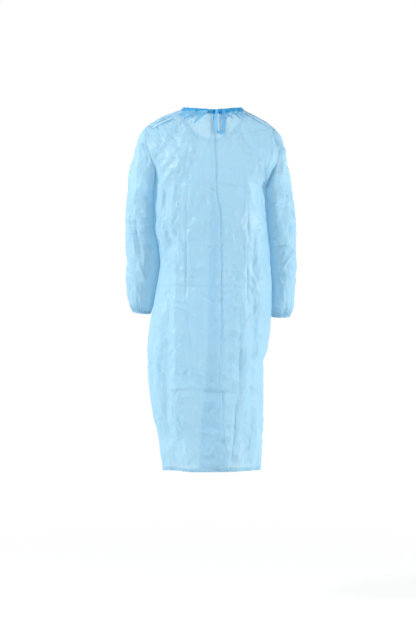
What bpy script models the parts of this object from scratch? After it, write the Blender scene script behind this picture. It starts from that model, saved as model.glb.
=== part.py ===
"""A disposable isolation gown in its worn shape, with its back opening lapped.

Metres, +Z up. +X is the wearer's right and +Y the way the wearer faces. The origin lies between the
shoulders, level with the neck edge, where the wearer holds the gown up. Every piece is a wall of cloth
on a grid of rows and columns. The sizes of the body panels are those of the cloth's inner face, and
those of the sleeves, cuffs and neck band are those of its outer face.

A row of a body panel is known by its station, which counts along the panel's outer edge:
neck band -0.2 to 0, shoulder seam 0 to 1, armhole 1 to 2, side seam 2 to 3.
"""

import math

import bpy
import numpy as np

# The cloth and how it is put together
WALL = 0.0012
BAND_WALL = 0.0016
BAND_HEIGHT = 0.013
SEAM_GAP = 0.0003
ARMHOLE_GAP = 0.0006
CUFF_GAP = 0.0006
BAND_GAP = 0.0008
FREE_EDGE_LIFT = 0.0016
UNDER_EDGE_SINK = 0.0014
LAP_RAMP = 0.05

# Stations where one edge of a panel ends and the next begins
BAND_TOP = -0.2
NECK = 0.0
SHOULDER_TIP = 1.0
UNDERARM = 2.0
HEM = 3.0
UNDERARM_HEIGHT = -0.250
HEM_HEIGHT = -1.110
SIDE_DEPTH = 0.0

# The shoulder seam, from the top of the neck band to the armhole
SHOULDER_COLUMNS = ("station", "left", "left_height", "right", "right_height", "depth")
SHOULDER = (
    (-0.20, -0.083, -0.0015, 0.094, -0.0015, -0.002),
    (0.00, -0.094, -0.0108, 0.105, -0.0123, -0.004),
    (0.33, -0.131, -0.0235, 0.137, -0.0295, -0.007),
    (0.67, -0.165, -0.0395, 0.168, -0.0460, -0.009),
    (1.00, -0.196, -0.0605, 0.197, -0.0690, -0.010),
)

# The armhole every 45 degrees, from the shoulder tip down its back edge and up its front edge
ARMHOLE_COLUMNS = ("left", "left_height", "right", "right_height", "depth")
ARMHOLE = (
    (-0.196, -0.0605, 0.197, -0.0690, -0.010),
    (-0.197, -0.1050, 0.203, -0.1140, -0.060),
    (-0.186, -0.1480, 0.203, -0.1630, -0.084),
    (-0.169, -0.2000, 0.185, -0.2130, -0.070),
    (-0.177, -0.2500, 0.170, -0.2500, 0.000),
    (-0.170, -0.2050, 0.176, -0.2150, 0.060),
    (-0.180, -0.1500, 0.186, -0.1580, 0.074),
    (-0.193, -0.0980, 0.198, -0.1050, 0.042),
)

# The line down the middle of the back and of the front, from the neck band to the underarm.
# A row turns through "turn" degrees between the middle and its outer edge, "fullness" is the exponent
# of its superellipse, and the lower its "roll", the rounder it rises to the shoulder.
YOKE_COLUMNS = ("station", "height", "depth", "turn", "fullness", "roll")
BACK_YOKE = (
    (-0.20, -0.0175, -0.064, 90.0, 2.0, 1.00),
    (0.00, -0.0305, -0.069, 90.0, 2.0, 0.95),
    (0.50, -0.0620, -0.087, 82.0, 2.1, 0.75),
    (1.00, -0.0960, -0.101, 74.0, 2.2, 0.70),
    (1.33, -0.1300, -0.110, 70.0, 2.3, 0.80),
    (1.67, -0.1800, -0.117, 73.0, 2.4, 0.90),
    (2.00, -0.2500, -0.120, 90.0, 2.5, 1.00),
)
FRONT_YOKE = (
    (-0.20, -0.0870, 0.073, 90.0, 2.0, 1.00),
    (0.00, -0.0990, 0.079, 90.0, 2.0, 0.95),
    (0.50, -0.1210, 0.089, 82.0, 2.1, 0.75),
    (1.00, -0.1490, 0.099, 74.0, 2.2, 0.70),
    (1.33, -0.1730, 0.106, 70.0, 2.3, 0.80),
    (1.67, -0.2080, 0.113, 73.0, 2.4, 0.90),
    (2.00, -0.2500, 0.119, 90.0, 2.5, 1.00),
)

# The body below the underarm: the side seams and the depths at the middle
BODY_COLUMNS = ("height", "left", "right", "back", "front")
BODY = (
    (-0.250, -0.177, 0.170, -0.120, 0.119),
    (-0.360, -0.176, 0.176, -0.119, 0.127),
    (-0.430, -0.163, 0.181, -0.117, 0.131),
    (-0.480, -0.157, 0.184, -0.117, 0.132),
    (-0.550, -0.166, 0.187, -0.119, 0.132),
    (-0.615, -0.177, 0.186, -0.123, 0.131),
    (-0.670, -0.187, 0.182, -0.126, 0.130),
    (-0.745, -0.193, 0.170, -0.127, 0.129),
    (-0.790, -0.193, 0.159, -0.126, 0.128),
    (-0.865, -0.188, 0.159, -0.124, 0.126),
    (-0.940, -0.176, 0.159, -0.121, 0.124),
    (-1.015, -0.159, 0.155, -0.117, 0.121),
    (-1.110, -0.146, 0.150, -0.112, 0.118),
)
BODY_FULLNESS = 2.4

# The free edges of the back opening: the left panel laps over the right one
FREE_COLUMNS = ("height", "over", "under")
FREE_EDGES = (
    (-0.017, 0.0060, -0.0060),
    (-0.050, 0.0080, -0.0020),
    (-0.150, 0.0115, 0.0010),
    (-0.266, 0.0140, 0.0000),
    (-0.341, 0.0255, -0.0030),
    (-0.460, 0.0280, -0.0060),
    (-0.655, 0.0285, -0.0090),
    (-0.849, 0.0215, -0.0165),
    (-0.872, 0.0320, -0.0150),
    (-0.960, 0.0330, -0.0300),
    (-1.110, 0.0545, -0.0360),
)

# The under panel's hem rises towards its free edge, over this share of its width and this height
UNDER_HEM_RISE = 0.012
HEM_RISE_ACROSS = 0.7
HEM_RISE_TOP = -0.95

# Soft vertical folds. Places are shares of the panel's width, from its outer edge (on the front from its
# left edge). A fold is deepest halfway between its top and its foot, and a depth below 0 is a trough.
FOLD_COLUMNS = ("across_top", "across_foot", "half_width", "depth", "top", "foot")
BACK_LEFT_FOLDS = (
    (0.16, 0.20, 0.10, 0.007, -0.42, -1.75),
    (0.38, 0.38, 0.11, -0.006, -0.48, -1.85),
    (0.62, 0.58, 0.10, 0.005, -0.35, -1.75),
    (0.34, 0.30, 0.09, 0.004, -0.10, -0.42),
)
BACK_RIGHT_FOLDS = (
    (0.14, 0.10, 0.08, 0.009, -0.07, -0.27),
    (0.18, 0.20, 0.10, 0.007, -0.45, -1.80),
    (0.42, 0.44, 0.11, -0.006, -0.40, -1.75),
    (0.68, 0.66, 0.10, 0.005, -0.55, -1.85),
)
FRONT_FOLDS = (
    (0.20, 0.17, 0.07, 0.010, -0.22, -1.85),
    (0.33, 0.31, 0.06, -0.009, -0.28, -1.90),
    (0.46, 0.45, 0.07, 0.009, -0.24, -1.80),
    (0.60, 0.61, 0.06, -0.010, -0.30, -1.90),
    (0.76, 0.79, 0.07, 0.011, -0.20, -1.85),
)

# The neck gathers, which stand up alternately on the grid's columns and die away down the panel.
# Near the seams they die away too, the more sharply the lower the power.
NECK_GATHER_DEPTH = 0.0020
NECK_GATHER_FADE = 0.040
NECK_GATHER_END_POWER = 0.25

# The sleeves: the outer and inner point of each ring, half its depth and how far forward it lies. The
# inner point stands "clear" of the cloth at the body's side, and below 0 it is nearer the middle.
# The first row is the armhole's plane, and the last two are the top and the end of the cuff.
SLEEVE_COLUMNS = ("out", "out_height", "clear", "in_height", "half_depth", "forward")
SLEEVE_LEFT = (
    (-0.1960, -0.0605, -0.0012, -0.2500, 0.080, -0.004),
    (-0.2150, -0.0860, 0.0022, -0.2570, 0.082, -0.004),
    (-0.2290, -0.1220, 0.0022, -0.2640, 0.082, -0.003),
    (-0.2410, -0.1700, 0.0020, -0.2740, 0.081, -0.001),
    (-0.2515, -0.2250, 0.0016, -0.2910, 0.079, 0.002),
    (-0.2565, -0.2900, 0.0012, -0.3220, 0.077, 0.005),
    (-0.2610, -0.3650, 0.0012, -0.3740, 0.074, 0.010),
    (-0.2610, -0.4350, 0.0022, -0.4350, 0.070, 0.015),
    (-0.2610, -0.4850, 0.0034, -0.4850, 0.067, 0.020),
    (-0.2580, -0.5450, 0.0022, -0.5450, 0.062, 0.027),
    (-0.2525, -0.5950, 0.0030, -0.5980, 0.052, 0.033),
    (-0.2450, -0.6180, 0.0065, -0.6250, 0.031, 0.038),
    (-0.2420, -0.6275, 0.0070, -0.6345, 0.029, 0.039),
)
SLEEVE_RIGHT = (
    (0.1970, -0.0690, -0.0012, -0.2500, 0.080, -0.004),
    (0.2130, -0.0920, 0.0022, -0.2580, 0.082, -0.004),
    (0.2260, -0.1250, 0.0022, -0.2660, 0.082, -0.003),
    (0.2345, -0.1700, 0.0020, -0.2770, 0.081, -0.001),
    (0.2430, -0.2250, 0.0016, -0.2930, 0.079, 0.002),
    (0.2520, -0.2900, 0.0012, -0.3230, 0.077, 0.005),
    (0.2590, -0.3650, 0.0012, -0.3740, 0.074, 0.010),
    (0.2600, -0.4350, 0.0012, -0.4350, 0.070, 0.015),
    (0.2610, -0.4850, 0.0012, -0.4850, 0.067, 0.020),
    (0.2570, -0.5450, 0.0012, -0.5450, 0.062, 0.027),
    (0.2555, -0.6050, 0.0020, -0.6070, 0.052, 0.033),
    (0.2460, -0.6340, 0.0020, -0.6340, 0.031, 0.038),
    (0.2430, -0.6435, 0.0040, -0.6435, 0.029, 0.039),
)
SLEEVE_FULLNESS = 2.2
ARMHOLE_FADE_RINGS = 3.0
CUFF_TILT = 0.16
CUFF_TILT_START_ROW = 8
CUFF_TILT_ROWS = 3
CUFF_GATHER_DEPTH = 0.0016
CUFF_GATHER_FADE = 0.035

# Dents and facets of the sleeves: degrees round from the outer line towards the back, the height of
# the middle, half the sizes both ways, and the depth along the cloth's outward direction
DENT_COLUMNS = ("round", "height", "half_round", "half_height", "depth")
SLEEVE_LEFT_DENTS = (
    (60.0, -0.375, 50.0, 0.050, 0.006),
    (110.0, -0.430, 45.0, 0.035, -0.006),
    (75.0, -0.530, 55.0, 0.045, 0.005),
    (250.0, -0.360, 60.0, 0.045, -0.006),
    (290.0, -0.470, 55.0, 0.045, 0.005),
    (120.0, -0.290, 50.0, 0.035, -0.004),
)
SLEEVE_RIGHT_DENTS = (
    (55.0, -0.350, 50.0, 0.050, 0.005),
    (100.0, -0.440, 45.0, 0.035, -0.006),
    (60.0, -0.500, 50.0, 0.045, 0.005),
    (245.0, -0.380, 60.0, 0.045, -0.006),
    (285.0, -0.480, 55.0, 0.045, 0.005),
    (115.0, -0.280, 50.0, 0.035, -0.004),
)

# The tie's hanging loop, right of the back opening: one leg edge-on, the other flat to the back
LOOP_LEFT = 0.0165
LOOP_RIGHT = 0.0385
LOOP_TOP = -0.0175
LOOP_SEAM = -0.0225
LOOP_SEAM_FOOT = -0.0268
LOOP_FOOT = -0.0930
LOOP_RIBBON = 0.0100
LOOP_WALL = 0.0012
LOOP_CLEAR = 0.0024
LOOP_LEG_POINTS = 8
LOOP_FOOT_POINTS = 10
LOOP_TWIST_RUN = 0.35
LOOP_LAST_STATION = 1.4
LOOP_STATIONS = 40

# Grid sizes
BACK_PANEL_COLUMNS = 18
FRONT_PANEL_COLUMNS = 28
SHOULDER_STATIONS = (0.0, 0.12, 0.28, 0.48, 0.72, 1.0)
ARMHOLE_ROWS = 12
SIDE_ROWS = 13
SLEEVE_RING_POINTS = 24
SLEEVE_RINGS = 21
CUFF_RINGS = 2
BAND_ROWS = 2
FINE_ARC = 240

COLLECTION_NAME = "isolation_gown"
CLOTH_COLOUR = (0.40, 0.70, 0.89)
BAND_COLOUR = (0.10, 0.45, 0.78)
CLOTH_ROUGHNESS = 0.55


def column(table, names, name):
    """One named column of a table, as an array."""
    return np.array(table)[:, names.index(name)]


def smooth(knots, values, at):
    """A smooth curve through (knots, values) that doesn't overshoot, read at each place in at."""
    order = np.argsort(knots)
    knots = np.asarray(knots, float)[order]
    values = np.asarray(values, float)[order]
    steps = np.diff(knots)
    rises = np.diff(values) / steps
    slopes = np.zeros(len(knots))
    before, after = rises[:-1], rises[1:]
    same_way = before * after > 0
    weight_before = 2 * steps[1:] + steps[:-1]
    weight_after = steps[1:] + 2 * steps[:-1]
    inner = np.zeros(len(before))
    inner[same_way] = (weight_before + weight_after)[same_way] / (
        weight_before[same_way] / before[same_way] + weight_after[same_way] / after[same_way]
    )
    slopes[1:-1] = inner
    slopes[0], slopes[-1] = rises[0], rises[-1]
    at = np.clip(np.asarray(at, float), knots[0], knots[-1])
    k = np.clip(np.searchsorted(knots, at, side="right") - 1, 0, len(steps) - 1)
    q = (at - knots[k]) / steps[k]
    return (
        values[k] * (1 + 2 * q) * (1 - q) ** 2
        + values[k + 1] * q * q * (3 - 2 * q)
        + steps[k] * (slopes[k] * q * (1 - q) ** 2 - slopes[k + 1] * q * q * (1 - q))
    )


def read(table, names, key, name, at):
    """The named column of a table, smoothed along its key column and read at one place."""
    return float(smooth(column(table, names, key), column(table, names, name), at))


def ease(q):
    """0 below 0, 1 above 1, and a soft S between."""
    q = np.clip(q, 0.0, 1.0)
    return q * q * (3 - 2 * q)


def hump(q):
    """1 at 0, falling softly to 0 at -1 and 1."""
    return np.cos(np.clip(q, -1.0, 1.0) * math.pi / 2) ** 2


def armhole_point(side, angle):
    """A point of the armhole, angle degrees round from the shoulder tip by way of the back."""
    step = 360.0 / len(ARMHOLE)
    place = (angle % 360.0) / step
    k = int(place)
    q = place - k
    names = (side, "depth", side + "_height")
    points = np.array([column(ARMHOLE, ARMHOLE_COLUMNS, name) for name in names]).T
    a, b, c, d = (points[(k + i) % len(ARMHOLE)] for i in (-1, 0, 1, 2))
    return b + 0.5 * q * (c - a + q * (2 * a - 5 * b + 4 * c - d + q * (3 * (b - c) + d - a)))


def edge_point(side, station, facing):
    """The outer edge of a body panel at a station. facing is -1 on the back and 1 on the front."""
    if station <= SHOULDER_TIP:
        names = (side, "depth", side + "_height")
        return np.array([read(SHOULDER, SHOULDER_COLUMNS, "station", n, station) for n in names])
    if station <= UNDERARM:
        angle = 180.0 * (station - SHOULDER_TIP)
        return armhole_point(side, angle if facing < 0 else 360.0 - angle)
    height = height_at(station)
    return np.array([read(BODY, BODY_COLUMNS, "height", side, height), SIDE_DEPTH, height])


def height_at(station):
    """The height of a row below the underarm."""
    return UNDERARM_HEIGHT + (HEM_HEIGHT - UNDERARM_HEIGHT) * (station - UNDERARM) / (HEM - UNDERARM)


def middle_point(station, facing):
    """The point halfway across a row, with its turn in radians, its fullness and its roll."""
    left, right = (edge_point(side, station, facing)[0] for side in ("left", "right"))
    if station <= UNDERARM:
        yoke = BACK_YOKE if facing < 0 else FRONT_YOKE
        height, depth, turn, fullness, roll = (
            read(yoke, YOKE_COLUMNS, "station", name, station) for name in YOKE_COLUMNS[1:]
        )
    else:
        height = height_at(station)
        depth = read(BODY, BODY_COLUMNS, "height", "back" if facing < 0 else "front", height)
        turn, fullness, roll = 90.0, BODY_FULLNESS, 1.0
    return np.array([(left + right) / 2, depth, height]), math.radians(turn), fullness, roll


def whole_row(station, facing):
    """A fine line across the whole back or front at a station, from the left edge to the right one.

    Each half is an arc of a superellipse that starts level at the middle and has turned by the row's
    turn where it meets the edge.
    """
    middle, turn, fullness, roll = middle_point(station, facing)
    t = np.linspace(0.0, turn, FINE_ARC)
    power = 2.0 / fullness
    across = (np.sin(t) / math.sin(turn)) ** power
    drop = 1 - np.maximum(np.cos(t), 0.0) ** power
    back = drop / drop[-1]
    halves = []
    for side in ("left", "right"):
        reach = edge_point(side, station, facing) - middle
        offsets = [across * reach[0], back * reach[1], back**roll * reach[2]]
        halves.append(middle + np.stack(offsets, axis=1))
    return np.vstack([halves[0][::-1], halves[1][1:]])


def lengths(line):
    """The distance along a line to each of its points."""
    return np.concatenate([[0.0], np.cumsum(np.linalg.norm(np.diff(line, axis=0), axis=1))])


def evenly(line, count, start_gap, end_gap):
    """count + 1 points spaced evenly along a line, leaving a gap at each end."""
    along = lengths(line)
    at = np.linspace(start_gap, along[-1] - end_gap, count + 1)
    return np.stack([np.interp(at, along, line[:, k]) for k in range(3)], axis=1)


def until(line, x):
    """The part of a line that runs left to right which lies left of x, ending on x."""
    kept = line[line[:, 0] < x]
    end = [x] + [np.interp(x, line[:, 0], line[:, k]) for k in (1, 2)]
    return np.vstack([kept, end])


def panel_row(piece, station, count):
    """The points of one row of a body panel or of the stretch of neck band above it."""
    if piece == "front":
        return evenly(whole_row(station, 1), count, SEAM_GAP / 2, SEAM_GAP / 2)
    line = whole_row(station, -1)
    height = middle_point(station, -1)[0][2]
    if piece == "back_left":
        over = read(FREE_EDGES, FREE_COLUMNS, "height", "over", height)
        return evenly(until(line, over), count, SEAM_GAP / 2, 0.0)
    under = read(FREE_EDGES, FREE_COLUMNS, "height", "under", height)
    mirrored = line[::-1] * (-1, 1, 1)
    return evenly(until(mirrored, -under), count, SEAM_GAP / 2, 0.0) * (-1, 1, 1)


def lap(piece, points):
    """How far each point is moved out (left panel) or in (right panel) where the panels lap."""
    heights = points[..., 2]
    over, under = (
        smooth(column(FREE_EDGES, FREE_COLUMNS, "height"), column(FREE_EDGES, FREE_COLUMNS, n), heights)
        for n in ("over", "under")
    )
    x = points[..., 0]
    facing_back = points[..., 1] < 0
    if piece == "back_left":
        return FREE_EDGE_LIFT * facing_back * ease((x - under) / LAP_RAMP + 1)
    if piece == "back_right":
        return -UNDER_EDGE_SINK * facing_back * ease((over - x) / LAP_RAMP + 1)
    return np.zeros(x.shape)


def outward(grid, loop=False):
    """The unit normals of a grid's points, worked out from the rows and columns beside them."""
    if loop:
        along = np.roll(grid, -1, axis=1) - np.roll(grid, 1, axis=1)
    else:
        along = np.gradient(grid, axis=1)
    down = np.gradient(grid, axis=0)
    normal = np.cross(along, down)
    return normal / np.linalg.norm(normal, axis=2, keepdims=True)


def fold_depths(folds, across, heights):
    """The summed depth of a panel's vertical folds at each point of its grid."""
    total = np.zeros(heights.shape)
    for row in folds:
        fold = dict(zip(FOLD_COLUMNS, row))
        down = (fold["top"] - heights) / (fold["top"] - fold["foot"])
        centre = fold["across_top"] + (fold["across_foot"] - fold["across_top"]) * np.clip(down, 0, 1)
        total += fold["depth"] * hump((across - centre) / fold["half_width"]) * hump(2 * down - 1)
    return total


def stations():
    """The stations of a body panel's rows, from the neck to the hem."""
    armhole = np.linspace(SHOULDER_TIP, UNDERARM, ARMHOLE_ROWS + 1)[1:]
    side = np.linspace(UNDERARM, HEM, SIDE_ROWS + 1)[1:]
    return np.concatenate([SHOULDER_STATIONS, armhole, side])


def panel_grid(piece, count, folds):
    """A body panel's grid, with its lap, folds and neck gathers."""
    grid = np.array([panel_row(piece, station, count) for station in stations()])
    normals = outward(grid)
    if piece == "back_left":
        normals = -normals
    across = np.linspace(0, 1, count + 1)[None, :] * np.ones((len(grid), 1))
    below_neck = np.cumsum(
        np.vstack([np.zeros(count + 1), np.linalg.norm(np.diff(grid, axis=0), axis=2)]), axis=0
    )
    lift = lap(piece, grid)
    lapped = np.abs(lift) / max(FREE_EDGE_LIFT, UNDER_EDGE_SINK)
    sign = np.where(np.arange(count + 1) % 2 == 0, 1.0, -1.0)[None, :]
    ends = hump(np.linspace(-1, 1, count + 1)) ** NECK_GATHER_END_POWER
    gathers = NECK_GATHER_DEPTH * sign * np.exp(-below_neck / NECK_GATHER_FADE) * ends * (1 - lapped) ** 2
    depth = lift + gathers + fold_depths(folds, across, grid[..., 2]) * (1 - lapped)
    grid = grid + normals * depth[..., None]
    if piece == "back_right":
        near_free = ease((across - HEM_RISE_ACROSS) / (1 - HEM_RISE_ACROSS))
        near_hem = ease((HEM_RISE_TOP - grid[..., 2]) / (HEM_RISE_TOP - HEM_HEIGHT))
        grid[..., 2] += UNDER_HEM_RISE * near_free * near_hem
    return grid


def band_grid():
    """The neck band: one strip from the over end, round the front, to the under end."""
    gap_share = BAND_GAP / BAND_HEIGHT
    rows = np.linspace(NECK + (BAND_TOP - NECK) * gap_share, BAND_TOP, BAND_ROWS + 1)
    lines = []
    for station in rows:
        left = panel_row("back_left", station, BACK_PANEL_COLUMNS)
        right = panel_row("back_right", station, BACK_PANEL_COLUMNS)
        front = panel_row("front", station, FRONT_PANEL_COLUMNS)
        left = left + (0, -1, 0) * lap("back_left", left)[:, None]
        right = right + (0, -1, 0) * lap("back_right", right)[:, None]
        lines.append(np.vstack([left[::-1][:-1], front, right[1:]]))
    return np.array(lines)


def sleeve_sizes(side, row):
    """The outer point, inner point, half depth, forward place and tilt of a sleeve's ring."""
    table = SLEEVE_LEFT if side == "left" else SLEEVE_RIGHT
    rows = np.arange(len(table))
    out, out_height, clear, in_height, half_depth, forward = (
        float(smooth(rows, column(table, SLEEVE_COLUMNS, name), row)) for name in SLEEVE_COLUMNS
    )
    body_side = read(BODY, BODY_COLUMNS, "height", side, in_height)
    inner = body_side + math.copysign(WALL + clear, out)
    tilt = CUFF_TILT * ease((row - CUFF_TILT_START_ROW) / CUFF_TILT_ROWS)
    return (out, out_height), (inner, in_height), half_depth, forward, tilt


def flat_ring(side, row):
    """A sleeve's ring as a superellipse between its outer and inner point."""
    (out, out_height), (inner, in_height), half_depth, forward, tilt = sleeve_sizes(side, row)
    turn = np.linspace(0, 2 * math.pi, SLEEVE_RING_POINTS, endpoint=False)
    power = 2.0 / SLEEVE_FULLNESS
    across = np.sign(np.cos(turn)) * np.abs(np.cos(turn)) ** power
    depth = -half_depth * np.sign(np.sin(turn)) * np.abs(np.sin(turn)) ** power
    x = (out + inner) / 2 + (out - inner) / 2 * across
    z = (out_height + in_height) / 2 + (out_height - in_height) / 2 * across + tilt * depth
    return np.stack([x, forward + depth, z], axis=1)


def sleeve_ring(side, row):
    """One ring of a sleeve, where row is a place in the sleeve's table and may lie between its rows.

    The first ring is the armhole itself, and the rings below it lose the armhole's bends by degrees.
    """
    ring = flat_ring(side, row)
    fade = 1 - ease(row / ARMHOLE_FADE_RINGS)
    if fade > 0:
        angles = np.linspace(0, 360, SLEEVE_RING_POINTS, endpoint=False)
        armhole = np.array([armhole_point(side, angle) for angle in angles])
        ring += fade * (armhole - flat_ring(side, 0.0))
        ring[:, 0] += math.copysign(ARMHOLE_GAP + WALL, ring[0, 0]) * (1 - ease(row))
    return ring


def sleeve_grid(side, rows):
    """Rings of a sleeve or cuff, with its dents and the gathers of its cuff."""
    table = SLEEVE_LEFT if side == "left" else SLEEVE_RIGHT
    dents = SLEEVE_LEFT_DENTS if side == "left" else SLEEVE_RIGHT_DENTS
    grid = np.array([sleeve_ring(side, row) for row in rows])
    normals = outward(grid, loop=True)
    if side == "left":
        normals = -normals
    angles = np.linspace(0, 360, SLEEVE_RING_POINTS, endpoint=False)[None, :]
    heights = grid[..., 2]
    depth = np.zeros(heights.shape)
    for row in dents:
        dent = dict(zip(DENT_COLUMNS, row))
        turn = (angles - dent["round"] + 180) % 360 - 180
        near = hump((heights - dent["height"]) / dent["half_height"])
        depth += dent["depth"] * hump(turn / dent["half_round"]) * near
    cuff_line = table[len(table) - 2][1]
    above_cuff = np.maximum(heights - cuff_line, 0)
    sign = np.where(np.arange(SLEEVE_RING_POINTS) % 2 == 0, 1.0, -1.0)[None, :]
    depth += CUFF_GATHER_DEPTH * sign * np.exp(-above_cuff / CUFF_GATHER_FADE)
    return grid + normals * depth[..., None]


def upper_back_depth(rows, x, height):
    """The depth of the right back's cloth, or of the neck band above it, at a place seen from behind."""
    heights = [np.interp(x, row[:, 0], row[:, 2]) for row in rows]
    depths = [np.interp(x, row[:, 0], row[:, 1]) for row in rows]
    depth = np.interp(height, heights[::-1], depths[::-1])
    return depth - float(lap("back_right", np.array([x, depth, height])))


def loop_grid():
    """The tie loop's ribbon: down one leg edge-on, round the foot with a quarter twist, up the other.

    Both legs are sewn to the neck band, and below it the ribbon hangs just clear of the panel.
    """
    half = (LOOP_RIGHT - LOOP_LEFT) / 2
    centre_x, centre_z = (LOOP_LEFT + LOOP_RIGHT) / 2, LOOP_FOOT + half
    free = np.linspace(LOOP_SEAM_FOOT, centre_z, LOOP_LEG_POINTS, endpoint=False)
    leg = np.concatenate([[LOOP_TOP, LOOP_SEAM], free])
    turn = np.linspace(math.pi, 2 * math.pi, LOOP_FOOT_POINTS)
    left_leg, right_leg = np.full(len(leg), LOOP_LEFT), np.full(len(leg), LOOP_RIGHT)
    x = np.concatenate([left_leg, centre_x + half * np.cos(turn), right_leg])
    z = np.concatenate([leg, centre_z + half * np.sin(turn), leg[::-1]])
    twist = ease(np.linspace(-LOOP_TWIST_RUN, 1 + LOOP_TWIST_RUN, len(x))) * math.pi / 2
    rows = [whole_row(station, -1) for station in np.linspace(BAND_TOP, LOOP_LAST_STATION, LOOP_STATIONS)]
    reach = LOOP_RIBBON / 2
    near, far = (
        np.array([upper_back_depth(rows, px + step, pz) for px, pz in zip(x, z)]) for step in (-reach, reach)
    )
    slope = (far - near) / LOOP_RIBBON
    out = np.stack([slope, -np.ones(len(x)), np.zeros(len(x))], axis=1)
    out /= np.linalg.norm(out, axis=1, keepdims=True)
    clear = np.where(z >= LOOP_SEAM, SEAM_GAP, WALL + LOOP_CLEAR)
    stand_off = clear + LOOP_WALL / 2 + reach * np.cos(twist)
    line = np.stack([x, (near + far) / 2, z], axis=1) + out * stand_off[:, None]
    along = np.gradient(line, axis=0)
    along /= np.linalg.norm(along, axis=1, keepdims=True)
    side = np.cross(along, out)
    side /= np.linalg.norm(side, axis=1, keepdims=True)
    lift = np.cross(side, along)
    wide = np.cos(twist)[:, None] * lift + np.sin(twist)[:, None] * side
    return np.stack([line - wide * reach, line, line + wide * reach])


def cloth_material(name, colour):
    material = bpy.data.materials.new(name)
    material.use_nodes = True
    shader = material.node_tree.nodes["Principled BSDF"]
    shader.inputs["Base Color"].default_value = (*colour, 1.0)
    shader.inputs["Roughness"].default_value = CLOTH_ROUGHNESS
    shader.inputs["Metallic"].default_value = 0.0
    return material


def wall_object(name, grid, wall, colour, collection, outside, loop=False, flip=False):
    """An open surface on a grid, thickened by Solidify. outside is 1 to add the wall on the face's
    outward side, -1 on its inner side and 0 on both."""
    rows, points = grid.shape[:2]
    index = np.arange(rows * points).reshape(rows, points)
    right = np.roll(index, -1, axis=1) if loop else index[:, 1:]
    left = index if loop else index[:, :-1]
    faces = np.stack([left[:-1], right[:-1], right[1:], left[1:]], axis=-1).reshape(-1, 4)
    if flip:
        faces = faces[:, ::-1]
    mesh = bpy.data.meshes.new(name)
    mesh.from_pydata(grid.reshape(-1, 3).tolist(), [], faces.tolist())
    mesh.shade_smooth()
    mesh.materials.append(cloth_material(name + "_cloth", colour))
    piece = bpy.data.objects.new(name, mesh)
    collection.objects.link(piece)
    solidify = piece.modifiers.new("wall", "SOLIDIFY")
    solidify.thickness = wall
    solidify.offset = outside
    solidify.use_even_offset = False
    return piece


def main():
    for old in list(bpy.data.objects):
        bpy.data.objects.remove(old, do_unlink=True)
    gown = bpy.data.collections.new(COLLECTION_NAME)
    bpy.context.scene.collection.children.link(gown)

    front = panel_grid("front", FRONT_PANEL_COLUMNS, FRONT_FOLDS)
    wall_object("front_panel", front, WALL, CLOTH_COLOUR, gown, 1)
    back_left = panel_grid("back_left", BACK_PANEL_COLUMNS, BACK_LEFT_FOLDS)
    wall_object("back_left_panel", back_left, WALL, CLOTH_COLOUR, gown, 1, flip=True)
    back_right = panel_grid("back_right", BACK_PANEL_COLUMNS, BACK_RIGHT_FOLDS)
    wall_object("back_right_panel", back_right, WALL, CLOTH_COLOUR, gown, 1)
    wall_object("neck_binding", band_grid(), BAND_WALL, BAND_COLOUR, gown, -1, flip=True)

    for side in ("left", "right"):
        last = len(SLEEVE_LEFT) - 1
        table = SLEEVE_LEFT if side == "left" else SLEEVE_RIGHT
        cuff_line = last - 1
        sleeve_end = cuff_line - CUFF_GAP / (table[last - 1][1] - table[last][1])
        rows = np.linspace(0, sleeve_end, SLEEVE_RINGS + 1)
        grid = sleeve_grid(side, rows)
        wall_object(f"sleeve_{side}", grid, WALL, CLOTH_COLOUR, gown, -1, loop=True, flip=side == "left")
        cuff_rows = np.linspace(cuff_line, last, CUFF_RINGS + 1)
        grid = sleeve_grid(side, cuff_rows)
        wall_object(f"cuff_{side}", grid, WALL, CLOTH_COLOUR, gown, -1, loop=True, flip=side == "left")

    wall_object("neck_tie_loop", loop_grid(), LOOP_WALL, CLOTH_COLOUR, gown, 0)


main()
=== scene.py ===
"""The looks of a disposable isolation gown, seen from behind with its back opening lapped.

Metres, +Z up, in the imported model's frame: +X is the gown's right as worn and +Y its front. The
sections follow the gown as it is sewn: body panels, sleeves, cuffs, neck binding, pleats and shoulder
ridges, tie loop, seams.
"""

import math

import bpy
import numpy as np
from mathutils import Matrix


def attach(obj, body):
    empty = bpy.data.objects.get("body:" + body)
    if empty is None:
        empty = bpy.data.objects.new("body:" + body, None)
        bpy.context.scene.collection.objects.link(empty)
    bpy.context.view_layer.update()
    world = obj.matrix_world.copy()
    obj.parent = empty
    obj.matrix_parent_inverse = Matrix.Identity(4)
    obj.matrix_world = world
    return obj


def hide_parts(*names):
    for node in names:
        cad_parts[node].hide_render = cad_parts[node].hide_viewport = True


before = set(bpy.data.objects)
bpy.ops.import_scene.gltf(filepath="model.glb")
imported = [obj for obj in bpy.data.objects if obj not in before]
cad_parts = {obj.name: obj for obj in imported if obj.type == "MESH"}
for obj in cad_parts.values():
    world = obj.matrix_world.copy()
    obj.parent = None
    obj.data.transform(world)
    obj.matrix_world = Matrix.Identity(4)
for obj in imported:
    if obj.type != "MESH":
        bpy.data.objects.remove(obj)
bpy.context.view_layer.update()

# ---------------------------------------------------------------------------------------------------
# Body panels. One front and two back panels of light spunbond polypropylene, about 35 g a square
# metre, cut flat and sewn into a tube that hangs from the shoulders. The left back laps over the right.
# ---------------------------------------------------------------------------------------------------


def columns(names, *rows):
    """A table as one array for each named column."""
    return dict(zip(names.split(), np.array(rows, float).T))


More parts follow.
